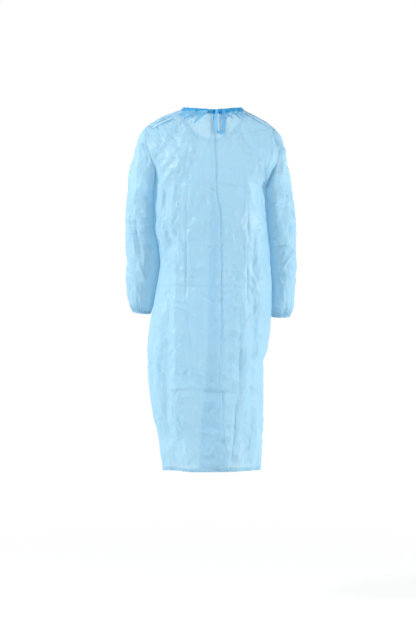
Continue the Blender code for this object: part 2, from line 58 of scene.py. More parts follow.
# Stations count along a panel's outer edge: shoulder seam 0 to 1, armhole 1 to 2, side seam 2 to 3
UNDERARM_HEIGHT = -0.250
HEM_HEIGHT = -1.110
SHOULDER = columns(
    "station left left_height right right_height depth",
    (-0.20, -0.083, -0.0015, 0.094, -0.0015, -0.002),
    (0.00, -0.094, -0.0108, 0.105, -0.0123, -0.004),
    (0.33, -0.131, -0.0235, 0.137, -0.0295, -0.007),
    (0.67, -0.165, -0.0395, 0.168, -0.0460, -0.009),
    (1.00, -0.196, -0.0605, 0.197, -0.0690, -0.010),
)
ARMHOLE = columns(
    "left left_height right right_height depth",
    (-0.196, -0.0605, 0.197, -0.0690, -0.010),
    (-0.197, -0.1050, 0.203, -0.1140, -0.060),
    (-0.186, -0.1480, 0.203, -0.1630, -0.084),
    (-0.169, -0.2000, 0.185, -0.2130, -0.070),
    (-0.177, -0.2500, 0.170, -0.2500, 0.000),
    (-0.170, -0.2050, 0.176, -0.2150, 0.060),
    (-0.180, -0.1500, 0.186, -0.1580, 0.074),
    (-0.193, -0.0980, 0.198, -0.1050, 0.042),
)
BACK_YOKE = columns(
    "station height depth turn fullness roll",
    (-0.20, -0.0170, -0.064, 90.0, 2.0, 0.60),
    (0.00, -0.0305, -0.069, 90.0, 2.0, 0.68),
    (0.50, -0.0620, -0.087, 82.0, 2.1, 0.75),
    (1.00, -0.0960, -0.101, 74.0, 2.2, 0.70),
    (1.33, -0.1300, -0.110, 70.0, 2.3, 0.80),
    (1.67, -0.1800, -0.117, 73.0, 2.4, 0.90),
    (2.00, -0.2500, -0.120, 90.0, 2.5, 1.00),
)
FRONT_YOKE = columns(
    "station height depth turn fullness roll",
    (-0.20, -0.0870, 0.073, 90.0, 2.0, 1.00),
    (0.00, -0.0990, 0.079, 90.0, 2.0, 0.95),
    (0.50, -0.1210, 0.089, 82.0, 2.1, 0.75),
    (1.00, -0.1490, 0.099, 74.0, 2.2, 0.70),
    (1.33, -0.1730, 0.106, 70.0, 2.3, 0.80),
    (1.67, -0.2080, 0.113, 73.0, 2.4, 0.90),
    (2.00, -0.2500, 0.119, 90.0, 2.5, 1.00),
)
BODY = columns(
    "height left right back front",
    (-0.250, -0.177, 0.170, -0.120, 0.119),
    (-0.360, -0.176, 0.176, -0.119, 0.127),
    (-0.430, -0.163, 0.181, -0.117, 0.131),
    (-0.480, -0.157, 0.184, -0.117, 0.132),
    (-0.550, -0.166, 0.187, -0.119, 0.132),
    (-0.615, -0.177, 0.186, -0.123, 0.131),
    (-0.670, -0.187, 0.182, -0.126, 0.130),
    (-0.745, -0.193, 0.170, -0.127, 0.129),
    (-0.790, -0.193, 0.159, -0.126, 0.128),
    (-0.865, -0.188, 0.159, -0.124, 0.126),
    (-0.940, -0.176, 0.159, -0.121, 0.124),
    (-1.015, -0.159, 0.155, -0.117, 0.121),
    (-1.110, -0.146, 0.150, -0.112, 0.118),
)
BODY_FULLNESS = 2.4
FREE_EDGES = columns(
    "height over under",
    (-0.017, 0.0060, -0.0060),
    (-0.050, 0.0080, -0.0020),
    (-0.150, 0.0115, 0.0010),
    (-0.266, 0.0140, 0.0000),
    (-0.341, 0.0255, -0.0030),
    (-0.460, 0.0280, -0.0060),
    (-0.655, 0.0285, -0.0090),
    (-0.849, 0.0215, -0.0165),
    (-0.872, 0.0320, -0.0150),
    (-0.960, 0.0330, -0.0300),
    (-1.110, 0.0545, -0.0360),
)
LAP_RISE = 0.0016
LAP_SINK = 0.0014
LAP_RAMP = 0.05
UNDER_HEM_RISE = 0.012
HEM_RISE_ACROSS = 0.7
HEM_RISE_TOP = -0.95

# Broad vertical folds: shares of the panel's width from its outer edge, deepest halfway down
FOLD_NAMES = "across_top across_foot half_width depth top foot"
BACK_LEFT_FOLDS = columns(
    FOLD_NAMES,
    (0.16, 0.20, 0.10, 0.007, -0.42, -1.75),
    (0.38, 0.38, 0.11, -0.006, -0.48, -1.85),
    (0.62, 0.58, 0.10, 0.005, -0.35, -1.75),
    (0.34, 0.30, 0.09, 0.004, -0.10, -0.42),
)
BACK_RIGHT_FOLDS = columns(
    FOLD_NAMES,
    (0.14, 0.10, 0.08, 0.009, -0.07, -0.27),
    (0.18, 0.20, 0.10, 0.007, -0.45, -1.80),
    (0.42, 0.44, 0.11, -0.006, -0.40, -1.75),
    (0.68, 0.66, 0.10, 0.005, -0.55, -1.85),
)
FRONT_FOLDS = columns(
    FOLD_NAMES,
    (0.20, 0.17, 0.07, 0.010, -0.22, -1.85),
    (0.33, 0.31, 0.06, -0.009, -0.28, -1.90),
    (0.46, 0.45, 0.07, 0.009, -0.24, -1.80),
    (0.60, 0.61, 0.06, -0.010, -0.30, -1.90),
    (0.76, 0.79, 0.07, 0.011, -0.20, -1.85),
)

# Creases from the packet and from the way the cloth hangs. Each runs straight from one point to the
# other, bent aside by its bow. "sharp" goes from 0, a rounded roll, to 1, a pressed edge.
CREASE_NAMES = "x1 z1 x2 z2 bow half_width depth sharp"
BACK_CREASES = columns(
    CREASE_NAMES,
    # pressed by the packet: two upright lines and three level ones, 0.307 m apart
    (-0.073, -0.245, -0.075, -0.640, 0.001, 0.0045, -0.0032, 0.9),
    (-0.066, -0.150, -0.072, -0.330, 0.002, 0.0060, -0.0012, 0.7),
    (0.112, -0.290, 0.109, -0.640, -0.001, 0.0045, -0.0032, 0.9),
    (0.086, -0.550, 0.084, -0.880, 0.001, 0.0045, -0.0030, 0.8),
    (-0.060, -0.250, 0.095, -0.253, 0.003, 0.0042, -0.0046, 0.9),
    (-0.020, -0.262, 0.080, -0.266, -0.003, 0.0036, -0.0034, 0.8),
    (-0.160, -0.556, 0.170, -0.561, 0.002, 0.0045, -0.0028, 0.8),
    (-0.140, -0.868, -0.055, -0.856, 0.002, 0.0045, 0.0036, 0.8),
    (-0.060, -0.866, 0.150, -0.872, -0.003, 0.0050, -0.0030, 0.8),
    # drape lines that run down and out from the neck to the left underarm
    (-0.045, -0.060, -0.150, -0.270, 0.010, 0.013, 0.0043, 0.2),
    (-0.065, -0.055, -0.165, -0.220, 0.012, 0.010, 0.0035, 0.3),
    (-0.085, -0.050, -0.178, -0.175, 0.010, 0.009, -0.0029, 0.3),
    (-0.030, -0.085, -0.125, -0.300, 0.014, 0.014, -0.0035, 0.2),
    (-0.095, -0.130, -0.120, -0.300, 0.006, 0.009, 0.0032, 0.3),
    (-0.060, -0.110, -0.085, -0.250, -0.006, 0.010, 0.0023, 0.3),
    # and to the right underarm
    (0.060, -0.070, 0.150, -0.230, -0.012, 0.014, 0.0035, 0.2),
    (0.080, -0.060, 0.170, -0.190, -0.010, 0.010, -0.0032, 0.3),
    (0.100, -0.150, 0.135, -0.330, -0.006, 0.012, 0.0029, 0.3),
    # long soft falls of the skirt
    (-0.130, -0.330, -0.138, -1.060, 0.006, 0.016, -0.0049, 0.1),
    (-0.105, -0.420, -0.100, -1.090, -0.005, 0.014, 0.0043, 0.2),
    (-0.050, -0.480, -0.060, -1.080, 0.006, 0.018, 0.0046, 0.1),
    (-0.022, -0.700, -0.030, -1.100, 0.003, 0.012, -0.0032, 0.2),
    (0.052, -0.420, 0.060, -0.860, -0.003, 0.012, 0.0038, 0.3),
    (0.074, -0.890, 0.058, -1.095, 0.003, 0.006, -0.0054, 0.7),
    (0.098, -0.560, 0.104, -1.090, 0.004, 0.016, 0.0049, 0.1),
    (0.128, -0.360, 0.132, -0.840, -0.005, 0.012, -0.0043, 0.2),
    (0.138, -0.860, 0.128, -1.080, 0.003, 0.008, 0.0043, 0.4),
    # short wrinkles where the skirt was pinched in the packet
    (0.110, -0.850, 0.150, -0.885, 0.004, 0.006, 0.0032, 0.5),
    (0.118, -0.890, 0.152, -0.862, -0.003, 0.005, -0.0029, 0.5),
    (0.105, -0.905, 0.140, -0.930, 0.004, 0.006, 0.0026, 0.4),
    (-0.004, -0.845, 0.004, -0.872, 0.002, 0.005, 0.0029, 0.6),
    (0.002, -0.870, -0.016, -0.935, 0.003, 0.005, 0.0025, 0.6),
    (-0.016, -0.930, -0.024, -0.990, -0.002, 0.006, 0.0017, 0.5),
    (-0.120, -0.610, -0.040, -0.650, 0.006, 0.008, 0.0034, 0.3),
    (-0.110, -0.590, -0.060, -0.600, -0.004, 0.006, 0.0030, 0.3),
    (-0.040, -0.580, 0.015, -0.610, 0.004, 0.007, -0.0030, 0.3),
    (0.040, -0.590, 0.100, -0.620, -0.004, 0.007, 0.0030, 0.3),
    (-0.130, -0.500, -0.070, -0.512, 0.004, 0.005, 0.0026, 0.4),
    (-0.095, -0.522, -0.020, -0.530, -0.003, 0.005, -0.0024, 0.4),
    (-0.060, -0.498, 0.000, -0.508, 0.003, 0.004, 0.0022, 0.4),
    (0.030, -0.505, 0.105, -0.515, 0.003, 0.005, 0.0026, 0.4),
    (0.060, -0.535, 0.130, -0.528, -0.003, 0.005, -0.0024, 0.4),
)
FRONT_CREASES = columns(
    CREASE_NAMES,
    (-0.078, -0.200, -0.076, -0.700, 0.001, 0.0045, -0.0018, 0.9),
    (0.108, -0.240, 0.110, -0.760, -0.001, 0.0045, -0.0018, 0.9),
    (0.016, -0.180, 0.014, -1.080, 0.001, 0.0040, 0.0016, 0.9),
    (-0.120, -0.252, 0.120, -0.250, 0.002, 0.0040, -0.0018, 0.9),
    (-0.160, -0.560, 0.165, -0.558, -0.002, 0.0045, -0.0018, 0.8),
    (-0.150, -0.866, 0.150, -0.868, 0.002, 0.0045, 0.0020, 0.8),
    (-0.060, -0.130, -0.150, -0.290, -0.010, 0.012, 0.0038, 0.2),
    (-0.080, -0.110, -0.165, -0.220, -0.010, 0.009, -0.0029, 0.3),
    (0.070, -0.130, 0.150, -0.280, 0.010, 0.012, 0.0038, 0.2),
    (0.090, -0.110, 0.165, -0.210, 0.008, 0.009, -0.0029, 0.3),
    (-0.030, -0.150, -0.070, -0.420, -0.008, 0.012, 0.0032, 0.2),
    (0.040, -0.150, 0.075, -0.400, 0.008, 0.012, 0.0032, 0.2),
    (-0.140, -0.420, -0.130, -1.080, 0.005, 0.014, 0.0043, 0.1),
    (-0.050, -0.450, -0.055, -1.090, -0.005, 0.014, -0.0041, 0.1),
    (0.060, -0.480, 0.070, -1.090, 0.005, 0.014, 0.0043, 0.1),
    (0.135, -0.450, 0.128, -1.070, -0.005, 0.012, -0.0038, 0.2),
    (-0.130, -0.640, -0.070, -0.610, 0.005, 0.007, 0.0019, 0.3),
    (0.060, -0.600, 0.120, -0.640, 0.005, 0.007, 0.0019, 0.3),
    (-0.030, -0.890, 0.030, -0.910, 0.004, 0.007, 0.0017, 0.4),
)

# Gathered folds that fan out from the neck seam, where the cloth is drawn into the binding
NECK_FOLDS = columns(
    CREASE_NAMES,
    (-0.0040, -0.0170, -0.0860, -0.0400, 0.003, 0.0050, 0.0050, 0.4),
    (-0.0180, -0.0260, -0.0700, -0.0500, 0.002, 0.0040, 0.0042, 0.5),
    (-0.0100, -0.0320, -0.0540, -0.0640, 0.002, 0.0045, 0.0036, 0.4),
    (-0.0340, -0.0160, -0.0780, -0.0240, 0.001, 0.0035, 0.0036, 0.5),
    (-0.0480, -0.0300, -0.1000, -0.0620, 0.003, 0.0050, -0.0034, 0.3),
    (-0.0120, -0.0220, -0.0600, -0.0400, 0.001, 0.0035, -0.0036, 0.5),
    (0.0460, -0.0150, 0.0640, -0.0340, -0.002, 0.0040, 0.0036, 0.5),
    (0.0560, -0.0150, 0.0820, -0.0420, -0.003, 0.0045, 0.0039, 0.4),
    (0.0400, -0.0180, 0.0500, -0.0480, -0.002, 0.0045, -0.0031, 0.4),
    (0.0700, -0.0180, 0.1000, -0.0480, -0.002, 0.0050, -0.0034, 0.3),
)

# The cloth's own crumple: the size of its facets and how deep they are. A broad noise pushes them aside
# by the warp and makes them stronger in patches. They are stretched upright.
CRUMPLE = columns("size depth", (0.085, 0.0036), (0.040, 0.0026), (0.019, 0.0013))
CRUMPLE_PATCH, CRUMPLE_WARP, CRUMPLE_STRETCH = 0.16, 0.022, 0.8
CRUMPLE_LEAST, CRUMPLE_MORE = 0.35, 1.1
# Short fine creases all over, as many on each side. "upright" is the share of them that runs near
# upright, and "lean" is in degrees from upright or level.
FINE_CREASES = {
    "count": 260,
    "length": (0.025, 0.090),
    "half_width": (0.0032, 0.0058),
    "depth": 0.0019,
    "depth_share": (0.35, 1.0),
    "bow": 0.004,
    "sharp": (0.4, 1.0),
    "upright": 0.67,
    "lean": 26.0,
}
# The cloth lies calm at its seams and, further from the side seams, where the sleeves rest against it
SEAM_CALM = 0.012
SLEEVE_RESTS = {"height": -0.450, "half_height": 0.225, "calm": 0.065}
# It is smoother across the upper back: the middle of that area, its half sizes and by how much
TAUT = {"x": 0.025, "half_x": 0.130, "height": -0.175, "half_height": 0.160, "share": 0.60}

# Puckers along the sewn edges: the distance between them, how deep, and how far in they reach
PUCKERS = columns("pitch depth fade", (0.011, 0.0006, 0.007), (0.023, 0.0007, 0.012))
# The slower waves that make them uneven, as shares and rates of the puckers' own
PUCKER_DRIFT, PUCKER_DRIFT_RATE, PUCKER_STRENGTH_RATE = 0.7, 1.3, 0.83
PUCKER_START, PUCKERS_BELOW_NECK = 0.004, 0.03

# Gathers under the neck binding: how many there are across a panel, how deep, and how far they reach
NECK_GATHERS = columns(
    "count depth fade phase",
    (46.0, 0.0007, 0.010, 0.3),
    (27.0, 0.0012, 0.022, 1.7),
    (13.0, 0.0016, 0.045, 0.9),
)
GATHER_SLANT = 2.4
GATHER_DRIFT, GATHER_DRIFT_RATE = 0.35, 0.37
GATHER_START, GATHER_RUN = -0.001, 0.005
GATHERS_FROM_SIDE = 0.06
NECK_FOLD_RUN = 0.004

# How fast a pressed edge falls off aside, and the share of a crease's length over which it starts and ends
PRESSED_FALL, CREASE_END = 1.6, 0.25
GRAIN_CORNERS = 128
CLOTH_WALL = 0.0005
FINE_ARC = 420
SHOULDER_ROWS, ARMHOLE_ROWS, SIDE_ROWS = 24, 52, 226
BACK_COLUMNS, FRONT_COLUMNS = 120, 145
HEM_TURN = 0.010
HEM_GAP = 0.0009
TURN_ROWS = 5


def smooth(knots, values, at):
    """A piecewise cubic through (knots, values) whose slopes are weighted harmonic means, so that it
    doesn't overshoot, read at each place in at."""
    order = np.argsort(knots)
    knots, values = knots[order], values[order]
    steps = np.diff(knots)
    rises = np.diff(values) / steps
    before, after = rises[:-1], rises[1:]
    same_way = before * after > 0
    first, second = 2 * steps[1:] + steps[:-1], steps[1:] + 2 * steps[:-1]
    inner = np.zeros(len(before))
    inner[same_way] = (first + second)[same_way] / (
        first[same_way] / before[same_way] + second[same_way] / after[same_way]
    )
    slopes = np.concatenate([rises[:1], inner, rises[-1:]])
    at = np.clip(np.asarray(at, float), knots[0], knots[-1])
    k = np.clip(np.searchsorted(knots, at, side="right") - 1, 0, len(steps) - 1)
    q = (at - knots[k]) / steps[k]
    return (
        values[k] * (1 + 2 * q) * (1 - q) ** 2
        + values[k + 1] * q * q * (3 - 2 * q)
        + steps[k] * (slopes[k] * q * (1 - q) ** 2 - slopes[k + 1] * q * q * (1 - q))
    )


def ease(q):
    """0 below 0, 1 above 1, and 3q^2 - 2q^3 between."""
    q = np.clip(q, 0.0, 1.0)
    return q * q * (3 - 2 * q)


def hump(q):
    """The square of a cosine: 1 at 0, falling to 0 at -1 and 1."""
    return np.cos(np.clip(q, -1.0, 1.0) * math.pi / 2) ** 2


def armhole(side, angle):
    """The armhole: a Catmull-Rom curve through eight points 45 degrees apart, read at angles in degrees
    round from the shoulder tip by way of the back."""
    points = np.stack([ARMHOLE[side], ARMHOLE["depth"], ARMHOLE[side + "_height"]], axis=1)
    place = np.asarray(angle, float) % 360.0 * len(points) / 360.0
    k = place.astype(int)
    q = (place - k)[..., None]
    a, b, c, d = (points[(k + i) % len(points)] for i in (-1, 0, 1, 2))
    return b + 0.5 * q * (c - a + q * (2 * a - 5 * b + 4 * c - d + q * (3 * (b - c) + d - a)))


def outer_edge(side, station, facing):
    """Points of a panel's outer edge: the shoulder seam, the armhole and the side seam end to end."""
    names = (side, "depth", side + "_height")
    shoulder = np.stack([smooth(SHOULDER["station"], SHOULDER[n], station) for n in names], axis=1)
    angle = 180.0 * np.clip(station - 1, 0, 1)
    hole = armhole(side, angle if facing < 0 else 360.0 - angle)
    height = UNDERARM_HEIGHT + (HEM_HEIGHT - UNDERARM_HEIGHT) * (station - 2)
    seam = np.stack([smooth(BODY["height"], BODY[side], height), 0 * height, height], axis=1)
    upper = np.where(station[:, None] <= 1, shoulder, hole)
    return np.where(station[:, None] <= 2, upper, seam)


def whole_rows(station, facing):
    """Lines across the whole back (facing -1) or front (1), one for each station. Each half of a line is
    an arc of a superellipse that is level at the middle and ends on the outer edge."""
    left, right = (outer_edge(side, station, facing) for side in ("left", "right"))
    yoke = BACK_YOKE if facing < 0 else FRONT_YOKE
    height, depth, turn, fullness, roll = (
        smooth(yoke["station"], yoke[n], station) for n in ("height", "depth", "turn", "fullness", "roll")
    )
    below = station > 2
    height = np.where(below, UNDERARM_HEIGHT + (HEM_HEIGHT - UNDERARM_HEIGHT) * (station - 2), height)
    depth = np.where(below, smooth(BODY["height"], BODY["back" if facing < 0 else "front"], height), depth)
    fullness = np.where(below, BODY_FULLNESS, fullness)
    middle = np.stack([(left[:, 0] + right[:, 0]) / 2, depth, height], axis=1)
    t = np.radians(turn)[:, None] * np.linspace(0.0, 1.0, FINE_ARC)
    power = 2.0 / fullness[:, None]
    across = (np.sin(t) / np.sin(t[:, -1:])) ** power
    drop = 1 - np.maximum(np.cos(t), 0.0) ** power
    back = drop / drop[:, -1:]
    halves = [
        np.stack([across, back, back ** roll[:, None]], axis=2) * (edge - middle)[:, None] + middle[:, None]
        for edge in (left, right)
    ]
    return np.concatenate([halves[0][:, ::-1], halves[1][:, 1:]], axis=1)


def distances(points, axis=0):
    """The distance from the first point to each one, summed from point to point along the axis."""
    steps = np.linalg.norm(np.diff(points, axis=axis), axis=-1)
    return np.concatenate([0 * steps.take([0], axis), np.cumsum(steps, axis=axis)], axis=axis)


def panel_form(piece, station, count):
    """A panel's grid of points, spaced evenly along each row from the outer edge to the free edge, and
    each point's distance along its row from the middle line."""
    grid, arcs = [], []
    for line in whole_rows(station, 1 if piece == "front" else -1):
        along = distances(line)
        middle = len(line) // 2
        if piece == "front":
            start, end = 0.0, along[-1]
        else:
            over = piece == "back_left"
            free = smooth(FREE_EDGES["height"], FREE_EDGES["over" if over else "under"], line[middle, 2])
            start, end = (0.0 if over else along[-1]), np.interp(free, line[:, 0], along)
        at = np.linspace(start, end, count + 1)
        grid.append(np.stack([np.interp(at, along, line[:, k]) for k in range(3)], axis=1))
        arcs.append(at - along[middle])
    return np.array(grid), np.array(arcs)


def lap_lift(piece, x, height):
    """How far the over panel stands off the back's form in the lap, or the under one is sunk into it:
    it is eased in over LAP_RAMP before the other panel's free edge."""
    over, under = (smooth(FREE_EDGES["height"], FREE_EDGES[n], height) for n in ("over", "under"))
    if piece == "back_left":
        return LAP_RISE * ease((x - under) / LAP_RAMP + 1)
    if piece == "back_right":
        return -LAP_SINK * ease((over - x) / LAP_RAMP + 1)
    return np.zeros(x.shape)


def outward(grid, centre):
    """Unit normals from the neighbours along both ways of the grid, turned to point away from a centre
    line at the given x."""
    normal = np.cross(np.gradient(grid, axis=1), np.gradient(grid, axis=0))
    normal /= np.maximum(np.linalg.norm(normal, axis=2, keepdims=True), 1e-12)
    away = grid[..., :2] - (centre, 0.0)
    return normal * np.sign(np.sum(normal[..., :2] * away))


def crease_depths(creases, x, z):
    """The summed depth of creases at points (x, z). Across a crease the depth falls as a mix of
    exp(-q^2), the roll, and exp(-PRESSED_FALL q), the pressed edge. It eases to 0 over CREASE_END of
    its length at both ends."""
    total = np.zeros(np.shape(x))
    for x1, z1, x2, z2, bow, half_width, depth, sharp in zip(*creases.values()):
        run = math.hypot(x2 - x1, z2 - z1)
        along = ((x - x1) * (x2 - x1) + (z - z1) * (z2 - z1)) / run**2
        aside = ((x - x1) * (z1 - z2) + (z - z1) * (x2 - x1)) / run
        q = np.abs(aside - bow * (1 - (2 * along - 1) ** 2)) / half_width
        shape = sharp * np.exp(-PRESSED_FALL * q) + (1 - sharp) * np.exp(-q * q)
        total += depth * shape * ease(along / CREASE_END) * ease((1 - along) / CREASE_END)
    return total


def fold_depths(folds, across, height):
    """The summed depth of a panel's broad vertical folds, each a hump across and a hump down."""
    total = np.zeros(height.shape)
    for top_at, foot_at, half_width, depth, top, foot in zip(*folds.values()):
        down = (top - height) / (top - foot)
        centre = top_at + (foot_at - top_at) * np.clip(down, 0, 1)
        total += depth * hump((across - centre) / half_width) * hump(2 * down - 1)
    return total


def grain(u, v, size, seed):
    """Gradient noise: on a square lattice of the given size each corner has a slope in a random
    direction, and the slopes' planes are blended by 6q^5 - 15q^4 + 10q^3. It runs from about -0.7 to 0.7."""
    turns = np.random.default_rng(seed).uniform(0, 2 * math.pi, (GRAIN_CORNERS, GRAIN_CORNERS))
    slope_u, slope_v = np.cos(turns), np.sin(turns)
    gu, gv = u / size + GRAIN_CORNERS // 2, v / size + GRAIN_CORNERS // 2
    i, j = np.floor(gu).astype(int), np.floor(gv).astype(int)
    fu, fv = gu - i, gv - j
    corner = []
    for a, b in ((0, 0), (0, 1), (1, 0), (1, 1)):
        at = (i + a) % GRAIN_CORNERS, (j + b) % GRAIN_CORNERS
        corner.append(slope_u[at] * (fu - a) + slope_v[at] * (fv - b))
    su, sv = (q * q * q * (q * (6 * q - 15) + 10) for q in (fu, fv))
    near = corner[0] + sv * (corner[1] - corner[0])
    far = corner[2] + sv * (corner[3] - corner[2])
    return near + su * (far - near)


def crumple(u, v, seed):
    """The relief of handled nonwoven: noise of three sizes, read at places that a broader noise has
    pushed aside, as 0.25 - |noise|, which leaves narrow crests between flat facets."""
    wu = u + CRUMPLE_WARP * grain(u, v, CRUMPLE_PATCH, seed + 50)
    wv = v * CRUMPLE_STRETCH + CRUMPLE_WARP * grain(u, v, CRUMPLE_PATCH, seed + 51)
    patch = CRUMPLE_LEAST + CRUMPLE_MORE * ease(0.5 + grain(u, v, CRUMPLE_PATCH, seed + 52))
    total = np.zeros(np.shape(u))
    for k, (size, depth) in enumerate(zip(*CRUMPLE.values())):
        total += depth * 2 * (0.25 - np.abs(grain(wu, wv, size, seed + k)))
    return total * patch


def fine_creases(u_ends, v_ends, count, seed):
    """Short creases at random between the ends of u and v, each as likely a ridge as a trough. The
    draws are seeded."""
    draw = np.random.default_rng(seed)
    sizes = FINE_CREASES
    u, v = draw.uniform(*u_ends, count), draw.uniform(*v_ends, count)
    half = draw.uniform(*sizes["length"], count) / 2
    upright = draw.random(count) < sizes["upright"]
    turn = np.radians(np.where(upright, 90.0, 0.0) + draw.normal(0, sizes["lean"], count))
    du, dv = half * np.cos(turn), half * np.sin(turn)
    bow = draw.uniform(-sizes["bow"], sizes["bow"], count)
    width = draw.uniform(*sizes["half_width"], count)
    depth = sizes["depth"] * draw.uniform(*sizes["depth_share"], count)
    depth = depth * np.where(draw.random(count) < 0.5, 1, -1)
    sharp = draw.uniform(*sizes["sharp"], count)
    values = np.stack([u - du, v - dv, u + du, v + dv, bow, width, depth, sharp], axis=1)
    return columns(CREASE_NAMES, *values)


def seam_puckers(along, aside):
    """Puckers that stand square to a seam: waves with the distance along it, 0 at the stitches, that
    fade with the distance from it. Slower waves make their spacing and their strength uneven."""
    total = np.zeros(np.broadcast(along, aside).shape)
    for pitch, depth, fade in zip(*PUCKERS.values()):
        uneven = along + PUCKER_DRIFT * pitch * np.sin(along / pitch * PUCKER_DRIFT_RATE)
        strength = 0.5 + 0.5 * np.sin(along / pitch * PUCKER_STRENGTH_RATE + 1)
        wave = depth * strength * np.sin(math.tau * uneven / pitch)
        total += wave * np.exp(-aside / fade) * ease(aside / PUCKER_START)
    return total


def neck_gathers(u, below, slant):
    """Gathers under the binding: waves across u, a share from 0 to 1, that fade with the distance below
    the seam and lean to one side as they go down. A slower wave makes their spacing uneven."""
    total = np.zeros(np.shape(u))
    for count, depth, fade, phase in zip(*NECK_GATHERS.values()):
        drift = GATHER_DRIFT / count * np.sin(2 * math.pi * (count * GATHER_DRIFT_RATE * u + phase))
        uneven = u + slant * below + drift
        total += depth * np.sin(2 * math.pi * (count * uneven + phase)) * np.exp(-below / fade)
    return total * ease((below - GATHER_START) / GATHER_RUN)


def panel(piece, count, folds, creases, seed, slant):
    """A body panel's grid and cloth coordinates in metres, with its lap, folds, creases and gathers, and
    its hem turned up inside by HEM_TURN. Its normals come last, without the turned hem."""
    seams = enumerate((SHOULDER_ROWS, ARMHOLE_ROWS, SIDE_ROWS))
    station = np.concatenate([[0.0]] + [np.linspace(k, k + 1, rows + 1)[1:] for k, rows in seams])
    grid, arc = panel_form(piece, station, count)
    normal = outward(grid, 0.0)
    x, height = grid[..., 0], grid[..., 2]
    across = np.broadcast_to(np.linspace(0, 1, count + 1), x.shape)
    below = distances(grid)
    from_edge = across * np.abs(arc[:, -1:] - arc[:, :1])
    lift = lap_lift(piece, x, height)
    single = 1 - np.abs(lift) / max(LAP_RISE, LAP_SINK)
    if piece == "front":
        from_edge = np.minimum(from_edge, from_edge[:, ::-1])
        ends, loose = hump(2 * across - 1) ** 0.25, 1.0
    else:
        ends = ease(across / GATHERS_FROM_SIDE) * single**2
        middle = hump((x - TAUT["x"]) / TAUT["half_x"])
        loose = 1 - TAUT["share"] * (middle * hump((height - TAUT["height"]) / TAUT["half_height"]))
    rests = hump((height - SLEEVE_RESTS["height"]) / SLEEVE_RESTS["half_height"]) ** 0.25
    side_calm = SEAM_CALM + (SLEEVE_RESTS["calm"] - SEAM_CALM) * rests
    calm = ease(from_edge / side_calm) * ease(below / SEAM_CALM)
    fine = fine_creases((arc.min(), arc.max()), (HEM_HEIGHT, 0.0), FINE_CREASES["count"], seed + 5)
    depth = lift + neck_gathers(across, below, slant) * ends
    depth += fold_depths(folds, across, height) * single
    depth += crease_depths(fine, arc, height) * calm * loose * single
    depth += (crease_depths(creases, x, height) + crumple(arc, height, seed) * loose) * calm
    depth += seam_puckers(below[:, :1], from_edge) * ease(below / PUCKERS_BELOW_NECK)
    if piece != "front":
        gathered = crease_depths(NECK_FOLDS, x, height) * ease(below / NECK_FOLD_RUN)
        depth += gathered * ease(from_edge / SEAM_CALM)
    grid = grid + normal * depth[..., None]
    if piece == "back_right":
        near_free = ease((across - HEM_RISE_ACROSS) / (1 - HEM_RISE_ACROSS))
        near_hem = ease((HEM_RISE_TOP - height) / (HEM_RISE_TOP - HEM_HEIGHT))
        grid[..., 2] += UNDER_HEM_RISE * near_free * near_hem
    cloth = np.stack([arc, -below], axis=2)
    return (*turn_up(grid, normal, cloth, HEM_TURN, HEM_GAP), normal)


def turn_up(grid, normal, cloth, turn, gap):
    """The grid with rows added past its last one, which go round the edge and back up the inside at
    a distance of gap, following the rows above the edge for a length of turn."""
    below = distances(grid).mean(axis=1)
    inside = np.interp(np.linspace(0, turn, TURN_ROWS), (below[-1] - below)[::-1], np.arange(len(grid))[::-1])
    low = inside.astype(int)
    high = np.minimum(low + 1, len(grid) - 1)
    part = (inside - low)[:, None, None]
    rows, away = (a[low] * (1 - part) + a[high] * part for a in (grid, normal))
    down = grid[-1] - grid[-2]
    down /= np.linalg.norm(down, axis=1, keepdims=True)
    bottom = grid[-1] - normal[-1] * gap / 2 + down * gap / 2
    added = np.concatenate([bottom[None], rows - away * gap])
    v = cloth[-1, :, 1] - np.concatenate([[gap / 2], gap + np.linspace(0, turn, TURN_ROWS)])[:, None]
    added_cloth = np.stack([np.broadcast_to(cloth[-1, :, 0], v.shape), v], axis=2)
    return np.concatenate([grid, added]), np.concatenate([cloth, added_cloth])


def linear(code):
    """The linear colour of an sRGB hex code: ((c + 0.055) / 1.055)^2.4 above 0.04045, c / 12.92 below."""
    parts = np.array([int(code[k : k + 2], 16) / 255 for k in (1, 3, 5)])
    parts = np.where(parts > 0.04045, ((parts + 0.055) / 1.055) ** 2.4, parts / 12.92)
    return (*parts.tolist(), 1.0)


def add(tree, kind, inputs, **settings):
    """Adds a shader node with its settings. An input is given a value, or what feeds it: a socket, or
    a node by its first output."""
    node = tree.nodes.new("ShaderNode" + kind)
    for name, value in settings.items():
        setattr(node, name, value)
    for name, value in inputs.items():
        if isinstance(value, bpy.types.Node):
            value = value.outputs[0]
        if isinstance(value, bpy.types.NodeSocket):
            tree.links.new(value, node.inputs[name])
        else:
            node.inputs[name].default_value = value
    return node


def empty_tree(owner):
    """The emptied node tree of a new material or world."""
    owner.use_nodes = True
    owner.node_tree.nodes.clear()
    return owner.node_tree


# The web's thickness, its fibres and bond points, its facets and wrinkles, and how it takes the light
CLOUD_SIZE = 0.007
STREAK_WIDTH, STREAK_LENGTH = 0.009, 0.140
WEB_THIN, WEB_DENSE = 0.70, 1.30
FIBRE_SIZE = 0.0016
BOND_SPACING, BOND_CORE, BOND_EDGE = 0.0022, 0.18, 0.34
WEB_RELIEF, WEB_RELIEF_SHARE = 0.00025, 0.25
FACET_SIZE, FACET_BEND, FACET_STRETCH, FACET_DEPTH = 0.026, 0.020, 2.6, 0.0054
RUMPLE_SIZE, RUMPLE_DEPTH = 0.009, 0.0032
PATCH_SIZE, PATCH_WEAK, PATCH_STRONG, PATCH_LEAST = 0.09, 0.35, 0.65, 0.2
POLYPROPYLENE_IOR = 1.49
SHEEN, SHEEN_ROUGHNESS = 0.15, 0.4
PASSES_SWING = 0.04
GAPS_THIN, GAPS_DENSE = 1.12, 0.88
GAP_TINT = "#F4FAFE"


